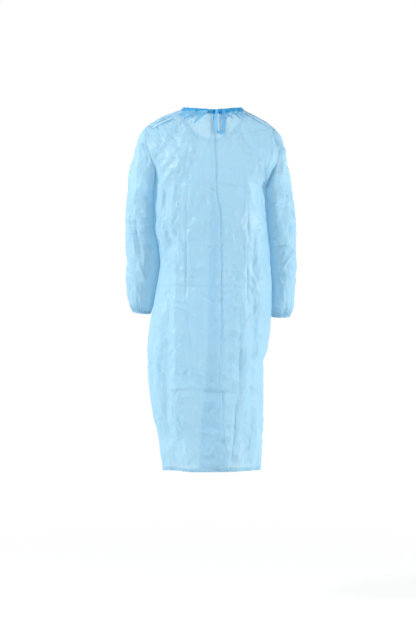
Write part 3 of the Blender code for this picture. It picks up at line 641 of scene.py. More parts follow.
def spunbond(name, face, dense, through, passes, gaps, roughness):
    """Spunbond polypropylene: endless fibres laid at random and welded by rows of hot points. It gives
    a soft, slightly cloudy blue that glows where light falls through it and deepens where it lies
    double, with a fine dotted grain. face and dense are its colours where the web is thin and thick,
    through the colour of the light that gets through its fibres, passes the share of light that does,
    and gaps the share of each face that is open between the fibres."""
    material = bpy.data.materials.new(name)
    tree = empty_tree(material)
    place = add(tree, "TexCoord", {})
    where = place.outputs["Object"]
    cloud = add(tree, "TexNoise", {"Vector": where, "Scale": 1 / CLOUD_SIZE, "Detail": 4.0, "Roughness": 0.6})
    web = add(tree, "TexNoise", {"Vector": where, "Scale": 1 / FIBRE_SIZE, "Detail": 2.0, "Distortion": 1.5})
    # The bond points are about 0.8 mm apart on the real cloth, drawn wider so that they show
    bonds = {"Vector": place.outputs["UV"], "Scale": 1 / BOND_SPACING, "Randomness": 0.0}
    points = add(tree, "TexVoronoi", bonds, voronoi_dimensions="2D")
    spots = {"Value": points, "From Min": BOND_CORE, "From Max": BOND_EDGE, "To Min": 1.0, "To Max": 0.0}
    dot = add(tree, "MapRange", spots, interpolation_type="SMOOTHSTEP")
    # The web is thicker in clouds and in streaks, which run the way it came off the machine
    streak = (1 / STREAK_WIDTH, 1 / STREAK_WIDTH, 1 / STREAK_LENGTH)
    drawn_out = add(tree, "VectorMath", {0: where, 1: streak}, operation="MULTIPLY")
    streaks = add(tree, "TexNoise", {"Vector": drawn_out, "Scale": 1.0, "Detail": 3.0, "Roughness": 0.6})
    weight = add(tree, "Math", {0: cloud, 1: streaks}, operation="ADD")
    web_ends = {"Value": weight, "From Min": WEB_THIN, "From Max": WEB_DENSE}
    thickness = add(tree, "MapRange", web_ends, interpolation_type="SMOOTHSTEP")
    colour = add(tree, "MixRGB", {"Fac": thickness, "Color1": linear(face), "Color2": linear(dense)})
    height = add(tree, "Math", {0: web, 1: dot}, operation="SUBTRACT")
    # Crisp facets about 25 mm wide, and finer wrinkles between them, both stronger in patches
    upright = add(tree, "VectorMath", {0: where, 1: (1.0, 1.0, 1 / FACET_STRETCH)}, operation="MULTIPLY")
    bend = add(tree, "TexNoise", {"Vector": upright, "Scale": 1 / FACET_SIZE, "Detail": 1.0})
    pushed = {0: bend.outputs["Color"], 1: (FACET_BEND,) * 3, 2: upright}
    bent = add(tree, "VectorMath", pushed, operation="MULTIPLY_ADD")
    facets = add(tree, "TexVoronoi", {"Vector": bent, "Scale": 1 / FACET_SIZE})
    wrinkled = {"Vector": bent, "Scale": 1 / RUMPLE_SIZE, "Detail": 1.0, "Distortion": 0.6}
    rumple = add(tree, "TexNoise", wrinkled)
    crest = add(tree, "Math", {0: rumple, 1: 0.5}, operation="SUBTRACT")
    ridge = add(tree, "Math", {0: crest}, operation="ABSOLUTE")
    patch = add(tree, "TexNoise", {"Vector": where, "Scale": 1 / PATCH_SIZE, "Detail": 1.0})
    patch_ends = {"Value": patch, "From Min": PATCH_WEAK, "From Max": PATCH_STRONG, "To Min": PATCH_LEAST}
    strong = add(tree, "MapRange", patch_ends, interpolation_type="SMOOTHSTEP")
    facet = add(tree, "Math", {0: facets, 1: strong}, operation="MULTIPLY")
    wrinkle = add(tree, "Math", {0: ridge, 1: strong}, operation="MULTIPLY")
    large = add(tree, "Bump", {"Height": facet, "Strength": 1.0, "Distance": FACET_DEPTH})
    finer = {"Height": wrinkle, "Strength": 1.0, "Distance": RUMPLE_DEPTH, "Normal": large}
    broad = add(tree, "Bump", finer, invert=True)
    finest = {"Height": height, "Strength": WEB_RELIEF_SHARE, "Distance": WEB_RELIEF, "Normal": broad}
    bump = add(tree, "Bump", finest)
    fibre = {"Base Color": colour, "Roughness": roughness, "IOR": POLYPROPYLENE_IOR, "Normal": bump}
    sheen = {"Sheen Weight": SHEEN, "Sheen Roughness": SHEEN_ROUGHNESS}
    surface = add(tree, "BsdfPrincipled", fibre | sheen)
    glow = add(tree, "BsdfTranslucent", {"Color": linear(through), "Normal": bump})
    light = {"Value": thickness, "To Min": passes + PASSES_SWING, "To Max": passes - PASSES_SWING}
    share = add(tree, "MapRange", light)
    fibres = add(tree, "MixShader", {0: share, 1: surface, 2: glow})
    air = {"Value": thickness, "To Min": gaps * GAPS_THIN, "To Max": gaps * GAPS_DENSE}
    openness = add(tree, "MapRange", air)
    clear = add(tree, "BsdfTransparent", {"Color": linear(GAP_TINT)})
    cloth = add(tree, "MixShader", {0: openness, 1: fibres, 2: clear})
    add(tree, "OutputMaterial", {"Surface": cloth})
    return material


def sewn_piece(name, points, faces, material):
    """An object of one smooth mesh and one material, at the origin, which rides the gown's body."""
    mesh = bpy.data.meshes.new(name)
    mesh.from_pydata(points.reshape(-1, 3).tolist(), [], faces)
    mesh.shade_smooth()
    mesh.materials.append(material)
    piece = bpy.data.objects.new(name, mesh)
    bpy.context.scene.collection.objects.link(piece)
    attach(piece, "root")
    return piece


def grid_piece(name, grid, cloth, wall, offset, material, closed=False, centre=None):
    """A mesh on a grid of points, with the cloth coordinates as its UV map, thickened by Solidify on its
    outward side for offset 1 and on its inner side for -1. Faces are turned to point away from an
    upright line at x = centre."""
    rows, count = grid.shape[:2]
    index = np.arange(rows * count).reshape(rows, count)
    if closed:
        index = np.concatenate([index, index[:, :1]], axis=1)
    faces, sheet_uv = (
        np.stack([a[:-1, :-1], a[:-1, 1:], a[1:, 1:], a[1:, :-1]], axis=2).reshape(-1, 4, *a.shape[2:])
        for a in (index, cloth)
    )
    if centre is not None:
        points = grid.reshape(-1, 3)
        a, b, c = (points[faces[:, k]] for k in (0, 1, 2))
        facing = np.cross(b - a, c - a)
        half = len(facing) // 2
        if np.sum((facing * (a - (centre, 0.0, 0.0)) * (1, 1, 0))[:half]) < 0:
            faces, sheet_uv = faces[:, ::-1], sheet_uv[:, ::-1]
    piece = sewn_piece(name, grid, faces.tolist(), material)
    uv = piece.data.uv_layers.new(name="cloth_metres")
    uv.data.foreach_set("uv", sheet_uv.ravel().astype(np.float32))
    solidify = piece.modifiers.new("wall", "SOLIDIFY")
    solidify.thickness = wall
    solidify.offset = offset
    solidify.use_even_offset = False
    return piece


body_cloth = spunbond("spunbond_polypropylene_blue", "#D2EDF7", "#B6E1F3", "#DAF1FA", 0.50, 0.34, 0.35)

# Each panel's columns, folds, creases, seed and the slant of its gathers
PANELS = {
    "front": (FRONT_COLUMNS, FRONT_FOLDS, FRONT_CREASES, 11, 0.0),
    "back_left": (BACK_COLUMNS, BACK_LEFT_FOLDS, BACK_CREASES, 23, GATHER_SLANT),
    "back_right": (BACK_COLUMNS, BACK_RIGHT_FOLDS, BACK_CREASES, 23, GATHER_SLANT / 2),
}
sewn, panels = {}, {}
for name, sizes in PANELS.items():
    grid, cloth, normal = panel(name, *sizes)
    sewn[name] = grid, normal, cloth
    panels[name] = grid_piece(f"{name}_panel_cloth", grid, cloth, CLOTH_WALL, 1, body_cloth, centre=0.0)
    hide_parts(f"{name}_panel")

# ---------------------------------------------------------------------------------------------------
# Sleeves. Each is one piece of the same cloth, sewn into a tube under the arm and set into the
# armhole, and it narrows to the elastic at the wrist.
# ---------------------------------------------------------------------------------------------------

# The outer and inner point of each ring, half its depth and how far forward it lies. The inner point
# stands "clear" of the cloth at the body's side. The last two rows are the top and the end of the cuff.
SLEEVE_NAMES = "out out_height clear in_height half_depth forward"
SLEEVES = {
    "left": columns(
        SLEEVE_NAMES,
        (-0.1960, -0.0605, -0.0012, -0.2500, 0.080, -0.004),
        (-0.2150, -0.0860, 0.0022, -0.2570, 0.082, -0.004),
        (-0.2290, -0.1220, 0.0022, -0.2640, 0.082, -0.003),
        (-0.2410, -0.1700, 0.0020, -0.2740, 0.081, -0.001),
        (-0.2515, -0.2250, 0.0016, -0.2910, 0.079, 0.002),
        (-0.2565, -0.2900, 0.0012, -0.3220, 0.077, 0.005),
        (-0.2610, -0.3650, 0.0012, -0.3740, 0.074, 0.010),
        (-0.2610, -0.4350, 0.0022, -0.4350, 0.070, 0.015),
        (-0.2610, -0.4850, 0.0034, -0.4850, 0.067, 0.020),
        (-0.2580, -0.5450, 0.0022, -0.5450, 0.062, 0.027),
        (-0.2525, -0.5950, 0.0030, -0.5980, 0.052, 0.033),
        (-0.2450, -0.6180, 0.0065, -0.6250, 0.031, 0.038),
        (-0.2420, -0.6275, 0.0070, -0.6345, 0.029, 0.039),
    ),
    "right": columns(
        SLEEVE_NAMES,
        (0.1970, -0.0690, -0.0012, -0.2500, 0.080, -0.004),
        (0.2130, -0.0920, 0.0022, -0.2580, 0.082, -0.004),
        (0.2260, -0.1250, 0.0022, -0.2660, 0.082, -0.003),
        (0.2345, -0.1700, 0.0020, -0.2770, 0.081, -0.001),
        (0.2430, -0.2250, 0.0016, -0.2930, 0.079, 0.002),
        (0.2520, -0.2900, 0.0012, -0.3230, 0.077, 0.005),
        (0.2590, -0.3650, 0.0012, -0.3740, 0.074, 0.010),
        (0.2600, -0.4350, 0.0012, -0.4350, 0.070, 0.015),
        (0.2610, -0.4850, 0.0012, -0.4850, 0.067, 0.020),
        (0.2570, -0.5450, 0.0012, -0.5450, 0.062, 0.027),
        (0.2555, -0.6050, 0.0020, -0.6070, 0.052, 0.033),
        (0.2460, -0.6340, 0.0020, -0.6340, 0.031, 0.038),
        (0.2430, -0.6435, 0.0040, -0.6435, 0.029, 0.039),
    ),
}
SLEEVE_FULLNESS = 2.2
ARMHOLE_FADE_RINGS = 3.0
CUFF_TILT, CUFF_TILT_START_ROW, CUFF_TILT_ROWS = 0.16, 8, 3
SLEEVE_OFF_BODY = 0.0006
SLEEVE_CLEAR_SHARE, WHOLE_CLEAR_ROW, WHOLE_CLEAR_ROWS = 0.2, 9, 2

# Dents: degrees round from the outer line towards the back, the middle's height, half sizes and depth
DENT_NAMES = "round height half_round half_height depth"
DENTS = {
    "left": columns(
        DENT_NAMES,
        (60.0, -0.375, 50.0, 0.050, 0.006),
        (110.0, -0.430, 45.0, 0.035, -0.006),
        (75.0, -0.530, 55.0, 0.045, 0.005),
        (250.0, -0.360, 60.0, 0.045, -0.006),
        (290.0, -0.470, 55.0, 0.045, 0.005),
        (120.0, -0.290, 50.0, 0.035, -0.004),
    ),
    "right": columns(
        DENT_NAMES,
        (55.0, -0.350, 50.0, 0.050, 0.005),
        (100.0, -0.440, 45.0, 0.035, -0.006),
        (60.0, -0.500, 50.0, 0.045, 0.005),
        (245.0, -0.380, 60.0, 0.045, -0.006),
        (285.0, -0.480, 55.0, 0.045, 0.005),
        (115.0, -0.280, 50.0, 0.035, -0.004),
    ),
}

# Creases of the sleeves. x is the distance round from the outer line towards the back, on a ring of
# SLEEVE_RADIUS, so 0.094 is the middle of the back, 0.188 the inner line and -0.094 the front.
SLEEVE_RADIUS = 0.060
SLEEVE_CALM, ARMHOLE_CALM = 0.080, 0.02
SLEEVE_CREASES = {
    "left": columns(
        CREASE_NAMES,
        # the cap, below the armhole seam
        (0.060, -0.100, 0.110, -0.190, 0.006, 0.007, -0.0062, 0.4),
        (0.040, -0.110, 0.080, -0.230, 0.008, 0.009, 0.0062, 0.3),
        (0.120, -0.170, 0.150, -0.260, 0.004, 0.006, -0.0053, 0.4),
        # the facet at the elbow and the edges that bound it
        (0.045, -0.310, 0.075, -0.470, 0.006, 0.006, 0.0067, 0.6),
        (0.085, -0.330, 0.095, -0.480, -0.004, 0.007, -0.0057, 0.4),
        (0.030, -0.300, 0.020, -0.420, -0.004, 0.006, -0.0040, 0.5),
        (0.075, -0.470, 0.110, -0.560, 0.004, 0.006, 0.0040, 0.5),
        (0.020, -0.500, 0.070, -0.525, 0.003, 0.005, -0.0033, 0.5),
        # cross wrinkles inside the elbow
        (0.110, -0.280, 0.165, -0.295, 0.004, 0.005, -0.0036, 0.4),
        (0.105, -0.330, 0.170, -0.345, 0.005, 0.006, 0.0036, 0.3),
        (0.110, -0.365, 0.165, -0.372, 0.004, 0.005, -0.0033, 0.4),
        (0.100, -0.410, 0.170, -0.432, 0.006, 0.006, 0.0036, 0.3),
        # the front, by guess
        (-0.110, -0.160, -0.060, -0.300, 0.008, 0.009, 0.0057, 0.3),
        (-0.140, -0.330, -0.070, -0.350, 0.006, 0.006, -0.0040, 0.4),
        (-0.150, -0.390, -0.060, -0.420, -0.006, 0.007, 0.0048, 0.3),
        (-0.100, -0.440, -0.090, -0.580, 0.004, 0.009, 0.0048, 0.2),
        (-0.040, -0.300, -0.050, -0.480, 0.004, 0.008, -0.0048, 0.3),
    ),
    "right": columns(
        CREASE_NAMES,
        (0.050, -0.110, 0.120, -0.200, 0.006, 0.008, -0.0069, 0.4),
        (0.030, -0.110, 0.070, -0.220, 0.008, 0.009, 0.0057, 0.3),
        (0.080, -0.120, 0.140, -0.240, 0.004, 0.006, 0.0057, 0.4),
        (0.060, -0.220, 0.090, -0.330, -0.006, 0.008, -0.0053, 0.3),
        (0.030, -0.250, 0.040, -0.400, 0.004, 0.007, 0.0053, 0.4),
        (0.035, -0.425, 0.115, -0.520, 0.004, 0.005, 0.0067, 0.8),
        (0.060, -0.432, 0.150, -0.434, 0.002, 0.004, -0.0040, 0.8),
        (0.115, -0.520, 0.100, -0.545, 0.002, 0.005, 0.0045, 0.7),
        (0.070, -0.350, 0.060, -0.430, 0.003, 0.007, -0.0045, 0.4),
        (0.110, -0.300, 0.165, -0.310, 0.004, 0.005, -0.0036, 0.4),
        (0.105, -0.350, 0.170, -0.362, 0.005, 0.006, 0.0036, 0.3),
        (0.100, -0.400, 0.170, -0.410, 0.004, 0.005, -0.0033, 0.4),
        (-0.110, -0.170, -0.060, -0.310, 0.008, 0.009, 0.0057, 0.3),
        (-0.140, -0.340, -0.070, -0.360, 0.006, 0.006, -0.0040, 0.4),
        (-0.150, -0.400, -0.060, -0.430, -0.006, 0.007, 0.0048, 0.3),
        (-0.100, -0.450, -0.090, -0.590, 0.004, 0.009, 0.0048, 0.2),
        (-0.040, -0.310, -0.050, -0.490, 0.004, 0.008, -0.0048, 0.3),
    ),
}

# Gathers above the cuff's elastic: how many round the wrist, how deep, and how far up they reach
CUFF_GATHERS = columns(
    "count depth fade phase",
    (34.0, 0.0009, 0.009, 0.2),
    (21.0, 0.0013, 0.022, 1.1),
    (11.0, 0.0014, 0.050, 2.3),
)
CUFF_GATHER_DRIFT, CUFF_GATHER_DRIFTS = 0.5, 3
SLEEVE_RUMPLE = 1.35
SLEEVE_POINTS, SLEEVE_ROWS = 150, 216
SLEEVE_SEEDS = {"left": 31, "right": 47}
SLEEVE_LAST_ROW = len(SLEEVES["left"]["out"]) - 1


def sleeve_form(side, row):
    """Rings of a sleeve. row is a place in the sleeve's table for each ring. A ring is a superellipse
    between its outer and inner point, which lies against the body and stands clear of it at the cuff."""
    table, row = SLEEVES[side], row[:, None]
    knots = np.arange(len(table["out"]), dtype=float)
    out, out_height, clear, in_height, half_depth, forward = (smooth(knots, v, row) for v in table.values())
    near_cuff = ease((row - WHOLE_CLEAR_ROW) / WHOLE_CLEAR_ROWS)
    clear = clear * (SLEEVE_CLEAR_SHARE + (1 - SLEEVE_CLEAR_SHARE) * near_cuff)
    off_body = math.copysign(1.0, table["out"][0]) * (SLEEVE_OFF_BODY + clear)
    inner = smooth(BODY["height"], BODY[side], in_height) + off_body
    tilt = CUFF_TILT * ease((row - CUFF_TILT_START_ROW) / CUFF_TILT_ROWS)
    turn = np.linspace(0, 2 * math.pi, SLEEVE_POINTS, endpoint=False)
    power = 2.0 / SLEEVE_FULLNESS
    across = np.sign(np.cos(turn)) * np.abs(np.cos(turn)) ** power
    depth = -half_depth * np.sign(np.sin(turn)) * np.abs(np.sin(turn)) ** power
    x = (out + inner) / 2 + (out - inner) / 2 * across
    z = (out_height + in_height) / 2 + (out_height - in_height) / 2 * across + tilt * depth
    return np.stack([x, forward + depth, z], axis=2)


def sleeve(side, row, seed):
    """A sleeve's grid between two places of its table, with dents, creases, crumple and cuff gathers.
    The first rings are pulled onto the armhole by degrees. Its normals and cloth coordinates follow."""
    table = SLEEVES[side]
    grid = sleeve_form(side, row)
    hole = armhole(side, np.linspace(0, 360, SLEEVE_POINTS, endpoint=False))
    fade = 1 - ease(row / ARMHOLE_FADE_RINGS)
    grid += fade[:, None, None] * (hole - sleeve_form(side, np.zeros(1)))
    wrapped = np.concatenate([grid[:, -2:], grid, grid[:, :2]], axis=1)
    normal = np.cross(np.gradient(wrapped, axis=1), np.gradient(wrapped, axis=0))[:, 2:-2]
    normal /= np.linalg.norm(normal, axis=2, keepdims=True)
    away = grid - grid.mean(axis=1, keepdims=True)
    normal *= np.sign(np.sum(normal * away))
    height = grid[..., 2]
    degrees = np.linspace(0, 360, SLEEVE_POINTS, endpoint=False)[None, :] + 0 * height
    depth = np.zeros(height.shape)
    for at, middle, half_round, half_height, deep in zip(*DENTS[side].values()):
        turn = (degrees - at + 180) % 360 - 180
        depth += deep * hump(turn / half_round) * hump((height - middle) / half_height)
    around = ((degrees + 180) % 360 - 180) * math.radians(SLEEVE_RADIUS)
    below = distances(grid)
    # it lies calm at the seam and where it rests against the body
    round_half = math.pi * SLEEVE_RADIUS
    free = ease(below / ARMHOLE_CALM) * ease((round_half - np.abs(around)) / SLEEVE_CALM)
    fine_ends = (-round_half, round_half), (table["out_height"][-1], 0.0)
    fine = fine_creases(*fine_ends, FINE_CREASES["count"] // 2, seed + 5)
    depth += crease_depths(SLEEVE_CREASES[side], around, height) * free
    depth += crease_depths(fine, around, height) * free
    # the crumple is read twice and blended under the arm, so that it meets itself at the sleeve's seam
    meet = ease(np.abs(around) / SLEEVE_RADIUS / math.pi * 4 - 3)
    turned = (around + math.tau * SLEEVE_RADIUS) % (math.tau * SLEEVE_RADIUS)
    rumpled = (1 - meet) * crumple(around, height, seed) + meet * crumple(turned, height, seed + 7)
    depth += SLEEVE_RUMPLE * rumpled * free
    depth += seam_puckers(around, below) * ease(below / PUCKER_START)
    above = np.maximum(height - table["out_height"][-2], 0)
    for count, deep, reach, phase in zip(*CUFF_GATHERS.values()):
        uneven = CUFF_GATHER_DRIFT * np.sin(np.radians(degrees * CUFF_GATHER_DRIFTS) + phase)
        depth += deep * np.sin(np.radians(degrees * count) + uneven + phase) * np.exp(-above / reach)
    grid = grid + normal * depth[..., None]
    u = np.linspace(0, math.tau * SLEEVE_RADIUS, SLEEVE_POINTS + 1)
    v = -np.concatenate([below, below[:, :1]], axis=1)
    return grid, normal, np.stack([np.broadcast_to(u, v.shape), v], axis=2)


sleeve_heads, sleeves = {}, {}
for side, seed in SLEEVE_SEEDS.items():
    grid, normal, cloth = sleeve(side, np.linspace(0, SLEEVE_LAST_ROW - 1, SLEEVE_ROWS + 1), seed)
    sleeve_heads[side] = grid, normal
    sleeves[side] = grid_piece(f"sleeve_{side}_cloth", grid, cloth, CLOTH_WALL, -1, body_cloth, closed=True)
    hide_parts(f"sleeve_{side}")

# ---------------------------------------------------------------------------------------------------
# Cuffs. The end of each sleeve, of the same cloth, turned in over a ring of narrow elastic and stitched
# down. The elastic pulls it into gathers.
# ---------------------------------------------------------------------------------------------------

CUFF_ROWS = 10
CUFF_TURN = 0.007
CUFF_GAP = 0.0012

cuff_grids, cuffs = {}, {}
for side, seed in SLEEVE_SEEDS.items():
    row = np.linspace(SLEEVE_LAST_ROW - 1, SLEEVE_LAST_ROW, CUFF_ROWS + 1)
    grid, normal, cloth = sleeve(side, row, seed)
    cuff_grids[side] = grid, normal
    turned, flat = turn_up(grid, normal, cloth[:, :-1], CUFF_TURN, CUFF_GAP)
    flat = np.concatenate([flat, flat[:, :1] + (math.tau * SLEEVE_RADIUS, 0)], axis=1)
    cuffs[side] = grid_piece(f"cuff_{side}_cloth", turned, flat, CLOTH_WALL, -1, body_cloth, closed=True)
    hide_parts(f"cuff_{side}")

# ---------------------------------------------------------------------------------------------------
# Neck binding. A strip of the same cloth folded in four over the gathered neck edge and sewn down, so
# that it is a deeper blue than the panels. It ends with the two free edges and laps as they do.
# ---------------------------------------------------------------------------------------------------

BINDING_TOP, BINDING_FOOT = -0.2, 0.03
BINDING_ROWS = 9
BINDING_COLUMNS = {"back_left": BACK_COLUMNS, "front": FRONT_COLUMNS * 2, "back_right": BACK_COLUMNS}
BINDING_HEIGHT = 0.0135
BINDING_FOLD = 0.0016
BINDING_PROUD = 0.0005
# Ripples round the neck, where the binding draws the cloth in: how many, how deep, and their phase
RIPPLES = columns("count depth phase", (83.0, 0.00035, 0.4), (47.0, 0.00040, 2.1), (19.0, 0.00045, 1.2))
# Slower waves make the ripples uneven. They are less deep at the seam, and the top edge rises in waves too.
RIPPLE_DRIFT, RIPPLE_DRIFTS = 0.3, 7
RIPPLE_AT_SEAM = 0.35
RIPPLE_RISE, RIPPLE_RISES, RISE_DRIFT, RISE_DRIFTS = 0.0004, 23, 0.4, 5

bound_cloth = spunbond(
    "spunbond_polypropylene_folded_binding", "#4ABEEC", "#3BB0E6", "#64C8F0", 0.36, 0.08, 0.45
)


def binding_form():
    """The binding's outer face: rows of stations from its sewn edge to its top, each from the over end
    round the front to the under end, with the lap's lift."""
    station = np.linspace(BINDING_FOOT, BINDING_TOP, BINDING_ROWS + 1)
    parts = []
    for piece, count in BINDING_COLUMNS.items():
        grid = panel_form(piece, station, count)[0]
        grid[..., 1] -= lap_lift(piece, grid[..., 0], grid[..., 2])
        parts.append(grid)
    return np.concatenate([parts[0][:, ::-1][:, :-1], parts[1], parts[2][:, 1:]], axis=1)


binding_grid = binding_form()
binding_along = distances(binding_grid, axis=1)
binding_normal = outward(binding_grid, 0.0)
share = binding_along / binding_along[:, -1:]
drift = RIPPLE_DRIFT * np.sin(math.tau * RIPPLE_DRIFTS * share)
waves = zip(*RIPPLES.values())
ripple = sum(depth * np.sin(math.tau * (count * share + drift + phase)) for count, depth, phase in waves)
up = np.linspace(0, 1, BINDING_ROWS + 1)[:, None]
proud = BINDING_PROUD + ripple * (RIPPLE_AT_SEAM + (1 - RIPPLE_AT_SEAM) * up)
rise = RIPPLE_RISES * share + RISE_DRIFT * np.sin(math.tau * RISE_DRIFTS * share)
binding_grid = binding_grid + binding_normal * proud[..., None]
binding_grid[..., 2] += RIPPLE_RISE * up * np.sin(math.tau * rise)
flat = np.stack([binding_along, -(1 - up) * BINDING_HEIGHT + 0 * binding_along], axis=2)
folded, flat = turn_up(binding_grid, binding_normal, flat, BINDING_HEIGHT, BINDING_FOLD)
binding = grid_piece("neck_binding_cloth", folded, flat, CLOTH_WALL, -1, bound_cloth, centre=0.0)
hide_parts("neck_binding")

# ---------------------------------------------------------------------------------------------------
# Pleats and shoulder ridges. Where the most cloth is drawn into the binding it doubles over on itself in
# small flat folds, which are held by the binding's seam and open out a few centimetres below it. The
# pleats' deeper blue is partly their doubled cloth and partly painted shade of the folds. Along the
# shoulders, thin strips paint the seam ridges' light as painted highlight and painted shade.
# ---------------------------------------------------------------------------------------------------

# A pleat runs from its point at the seam to its tip, bent aside by its bow, and is widest near the seam
PLEATS = columns(
    "x1 z1 x2 z2 bow wide",
    (-0.0100, -0.0250, -0.0860, -0.0395, 0.0020, 0.0150),
    (-0.0260, -0.0262, -0.0720, -0.0500, 0.0025, 0.0140),
    (-0.0190, -0.0300, -0.0520, -0.0620, 0.0015, 0.0110),
    (-0.0480, -0.0215, -0.0940, -0.0360, 0.0010, 0.0130),
    (0.0470, -0.0268, 0.0660, -0.0440, -0.0010, 0.0080),
    (0.0580, -0.0235, 0.0880, -0.0430, -0.0020, 0.0095),
    (0.0110, -0.0300, 0.0050, -0.0520, 0.0005, 0.0060),
    (-0.0380, -0.0235, -0.0840, -0.0450, 0.0020, 0.0100),
    (-0.0660, -0.0190, -0.1040, -0.0320, 0.0010, 0.0085),
    (0.0310, -0.0295, 0.0470, -0.0480, -0.0010, 0.0070),
    (0.0700, -0.0205, 0.1020, -0.0380, -0.0020, 0.0090),
)
# The shoulder seams' inner edges are pressed towards the back and ridge the cloth over them. Thin strips
# on the cloth paint each ridge's light: painted highlight between two of painted shade. "light" is 1 for the
# highlight.
RIDGE_PAINTED_LIGHT_STRIPS = columns(
    "x1 z1 x2 z2 bow wide light",
    (-0.1180, -0.0395, -0.1850, -0.0735, 0.0018, 0.0044, 1),
    (-0.1120, -0.0432, -0.1830, -0.0790, 0.0018, 0.0050, 0),
    (-0.1180, -0.0345, -0.1870, -0.0680, 0.0018, 0.0046, 0),
    (0.0960, -0.0185, 0.1770, -0.0630, -0.0022, 0.0046, 1),
    (0.0900, -0.0220, 0.1720, -0.0680, -0.0022, 0.0052, 0),
    (0.0980, -0.0130, 0.1800, -0.0580, -0.0022, 0.0046, 0),
)
PLEAT_ROWS, PLEAT_COLUMNS = 30, 8
PLEAT_WALL, PLEAT_OFF, PLEAT_RISE, RIDGE_RISE = 0.0004, 0.0009, 0.0014, 0.0008
PLEAT_TAPER, RIDGE_TAPER = 0.45, 0.2
PLEAT_LEAST_WIDTH, PLEAT_START_SHARE = 0.0004, 0.55
PLEAT_START, PLEAT_LIFT_START = 0.2, 0.15
# A fold lies on the panel at its own side of this x, and reads the cloth's depth near it
PLEAT_SIDES = 0.012
PLEAT_NEAR, PLEAT_REACH_ROWS = 0.0025, 50

# Pleat colour: a deeper blue, partly the doubled cloth and partly painted shade of the folds
pleat_doubled_and_painted_shade_cloth = spunbond("spunbond_polypropylene_pleated_painted_shade", "#8ED4F3", "#78C9EF", "#A0DCF6", 0.34, 0.14, 0.40)
# Ridge colour: a near-white painted highlight. The colour after it: painted shade beside the highlight.
ridge_painted_highlight_cloth = spunbond("spunbond_polypropylene_ridge_painted_highlight", "#E9F7FD", "#DCF1FB", "#F2FBFE", 0.40, 0.20, 0.30)
shade_cloth = spunbond("spunbond_polypropylene_painted_shade", "#A0D6F2", "#8CCBEE", "#B0DEF5", 0.40, 0.20, 0.40)
pleats = {"front": [], "back_left": [], "back_right": []}


def depth_on(grid, x, z):
    """The depth of a panel's folded cloth at places seen from behind: the mean of its points' depths,
    each weighted by exp(-(distance / PLEAT_NEAR)^2)."""
    points = grid[:PLEAT_REACH_ROWS].reshape(-1, 3)
    away = (x[..., None] - points[:, 0]) ** 2 + (z[..., None] - points[:, 2]) ** 2
    weight = np.exp(-away / PLEAT_NEAR**2) + 1e-12
    return np.sum(weight * points[:, 1], axis=-1) / np.sum(weight, axis=-1)


def fold_on_back(name, x1, z1, x2, z2, bow, wide, taper, rise, material):
    """A narrow sheet that lies on a back panel, a pleat's fold or a shoulder strip of painted highlight or
    painted shade: along it t goes from 0 to 1, its width is wide times (1 - t)^taper, eased in at its start,
    and it stands off by rise times 1 - t and the root of half a sine across it."""
    t, across = np.linspace(0, 1, PLEAT_ROWS + 1)[:, None], np.linspace(0, 1, PLEAT_COLUMNS + 1)
    run = math.hypot(x2 - x1, z2 - z1)
    started = PLEAT_START_SHARE + (1 - PLEAT_START_SHARE) * ease(t / PLEAT_START)
    width = wide * (1 - t) ** taper * started + PLEAT_LEAST_WIDTH
    aside = bow * (1 - (2 * t - 1) ** 2) + width * (across - 0.5)
    x = x1 + (x2 - x1) * t + (z2 - z1) / run * aside
    z = z1 + (z2 - z1) * t + (x1 - x2) / run * aside
    lift = rise * np.sin(math.pi * across) ** 0.5 * (1 - t) * ease(t / PLEAT_LIFT_START)
    under = "back_left" if x1 < PLEAT_SIDES else "back_right"
    y = depth_on(sewn[under][0], x, z) - (PLEAT_OFF + CLOTH_WALL + lift)
    flat = np.stack([t * run + 0 * across, across * width], axis=2)
    pleats[under].append(grid_piece(name, np.stack([x, y, z], axis=2), flat, PLEAT_WALL, 0, material))


# The pleats carry painted shade in their deeper blue
for k, row in enumerate(zip(*PLEATS.values()), 1):
    fold_on_back(f"neck_pleat_{k}", *row, PLEAT_TAPER, PLEAT_RISE, pleat_doubled_and_painted_shade_cloth)
# Shoulder strips: painted highlight where light is 1, painted shade on the others
for k, (*row, light) in enumerate(zip(*RIDGE_PAINTED_LIGHT_STRIPS.values()), 1):
    fold_on_back(f"shoulder_ridge_painted_light_{k}", *row, RIDGE_TAPER, RIDGE_RISE, ridge_painted_highlight_cloth if light else shade_cloth)

# ---------------------------------------------------------------------------------------------------
# Tie loop. A flat ribbon of folded cloth whose two ends are sewn behind the binding, right of the
# opening. It hangs in a long U, edge-on at its left leg and flat at its right one.
# ---------------------------------------------------------------------------------------------------

LOOP_LEFT, LOOP_RIGHT = 0.0165, 0.0385
LOOP_TOP, LOOP_SEAM, LOOP_FOOT = -0.0175, -0.0225, -0.0930
LOOP_RIBBON, LOOP_WALL = 0.0100, 0.0009
LOOP_CLEAR, LOOP_SEWN = 0.0036, 0.0014
LOOP_LEG_POINTS, LOOP_FOOT_POINTS, LOOP_ACROSS = 26, 44, 6
LOOP_TWIST_RUN, LOOP_OPEN = 0.35, 0.62
LOOP_SEWN_RUN = 0.006
YOKE_STATIONS, YOKE_LAST_STATION = 40, 1.4

tie_cloth = spunbond("spunbond_polypropylene_folded_tie", "#8ACFF0", "#74C3EA", "#98D6F3", 0.42, 0.34, 0.45)


def depth_behind(x, z):
    """The depth of the back's smooth form at places seen from behind: rows of the yoke are read at x and
    the height z is looked up among them, for each place."""
    rows = whole_rows(np.linspace(BINDING_TOP, YOKE_LAST_STATION, YOKE_STATIONS), -1)
    depths, heights = (np.stack([np.interp(x, row[:, 0], row[:, k]) for row in rows]) for k in (1, 2))
    return np.array([np.interp(at, h[::-1], d[::-1]) for at, h, d in zip(z, heights.T, depths.T)])


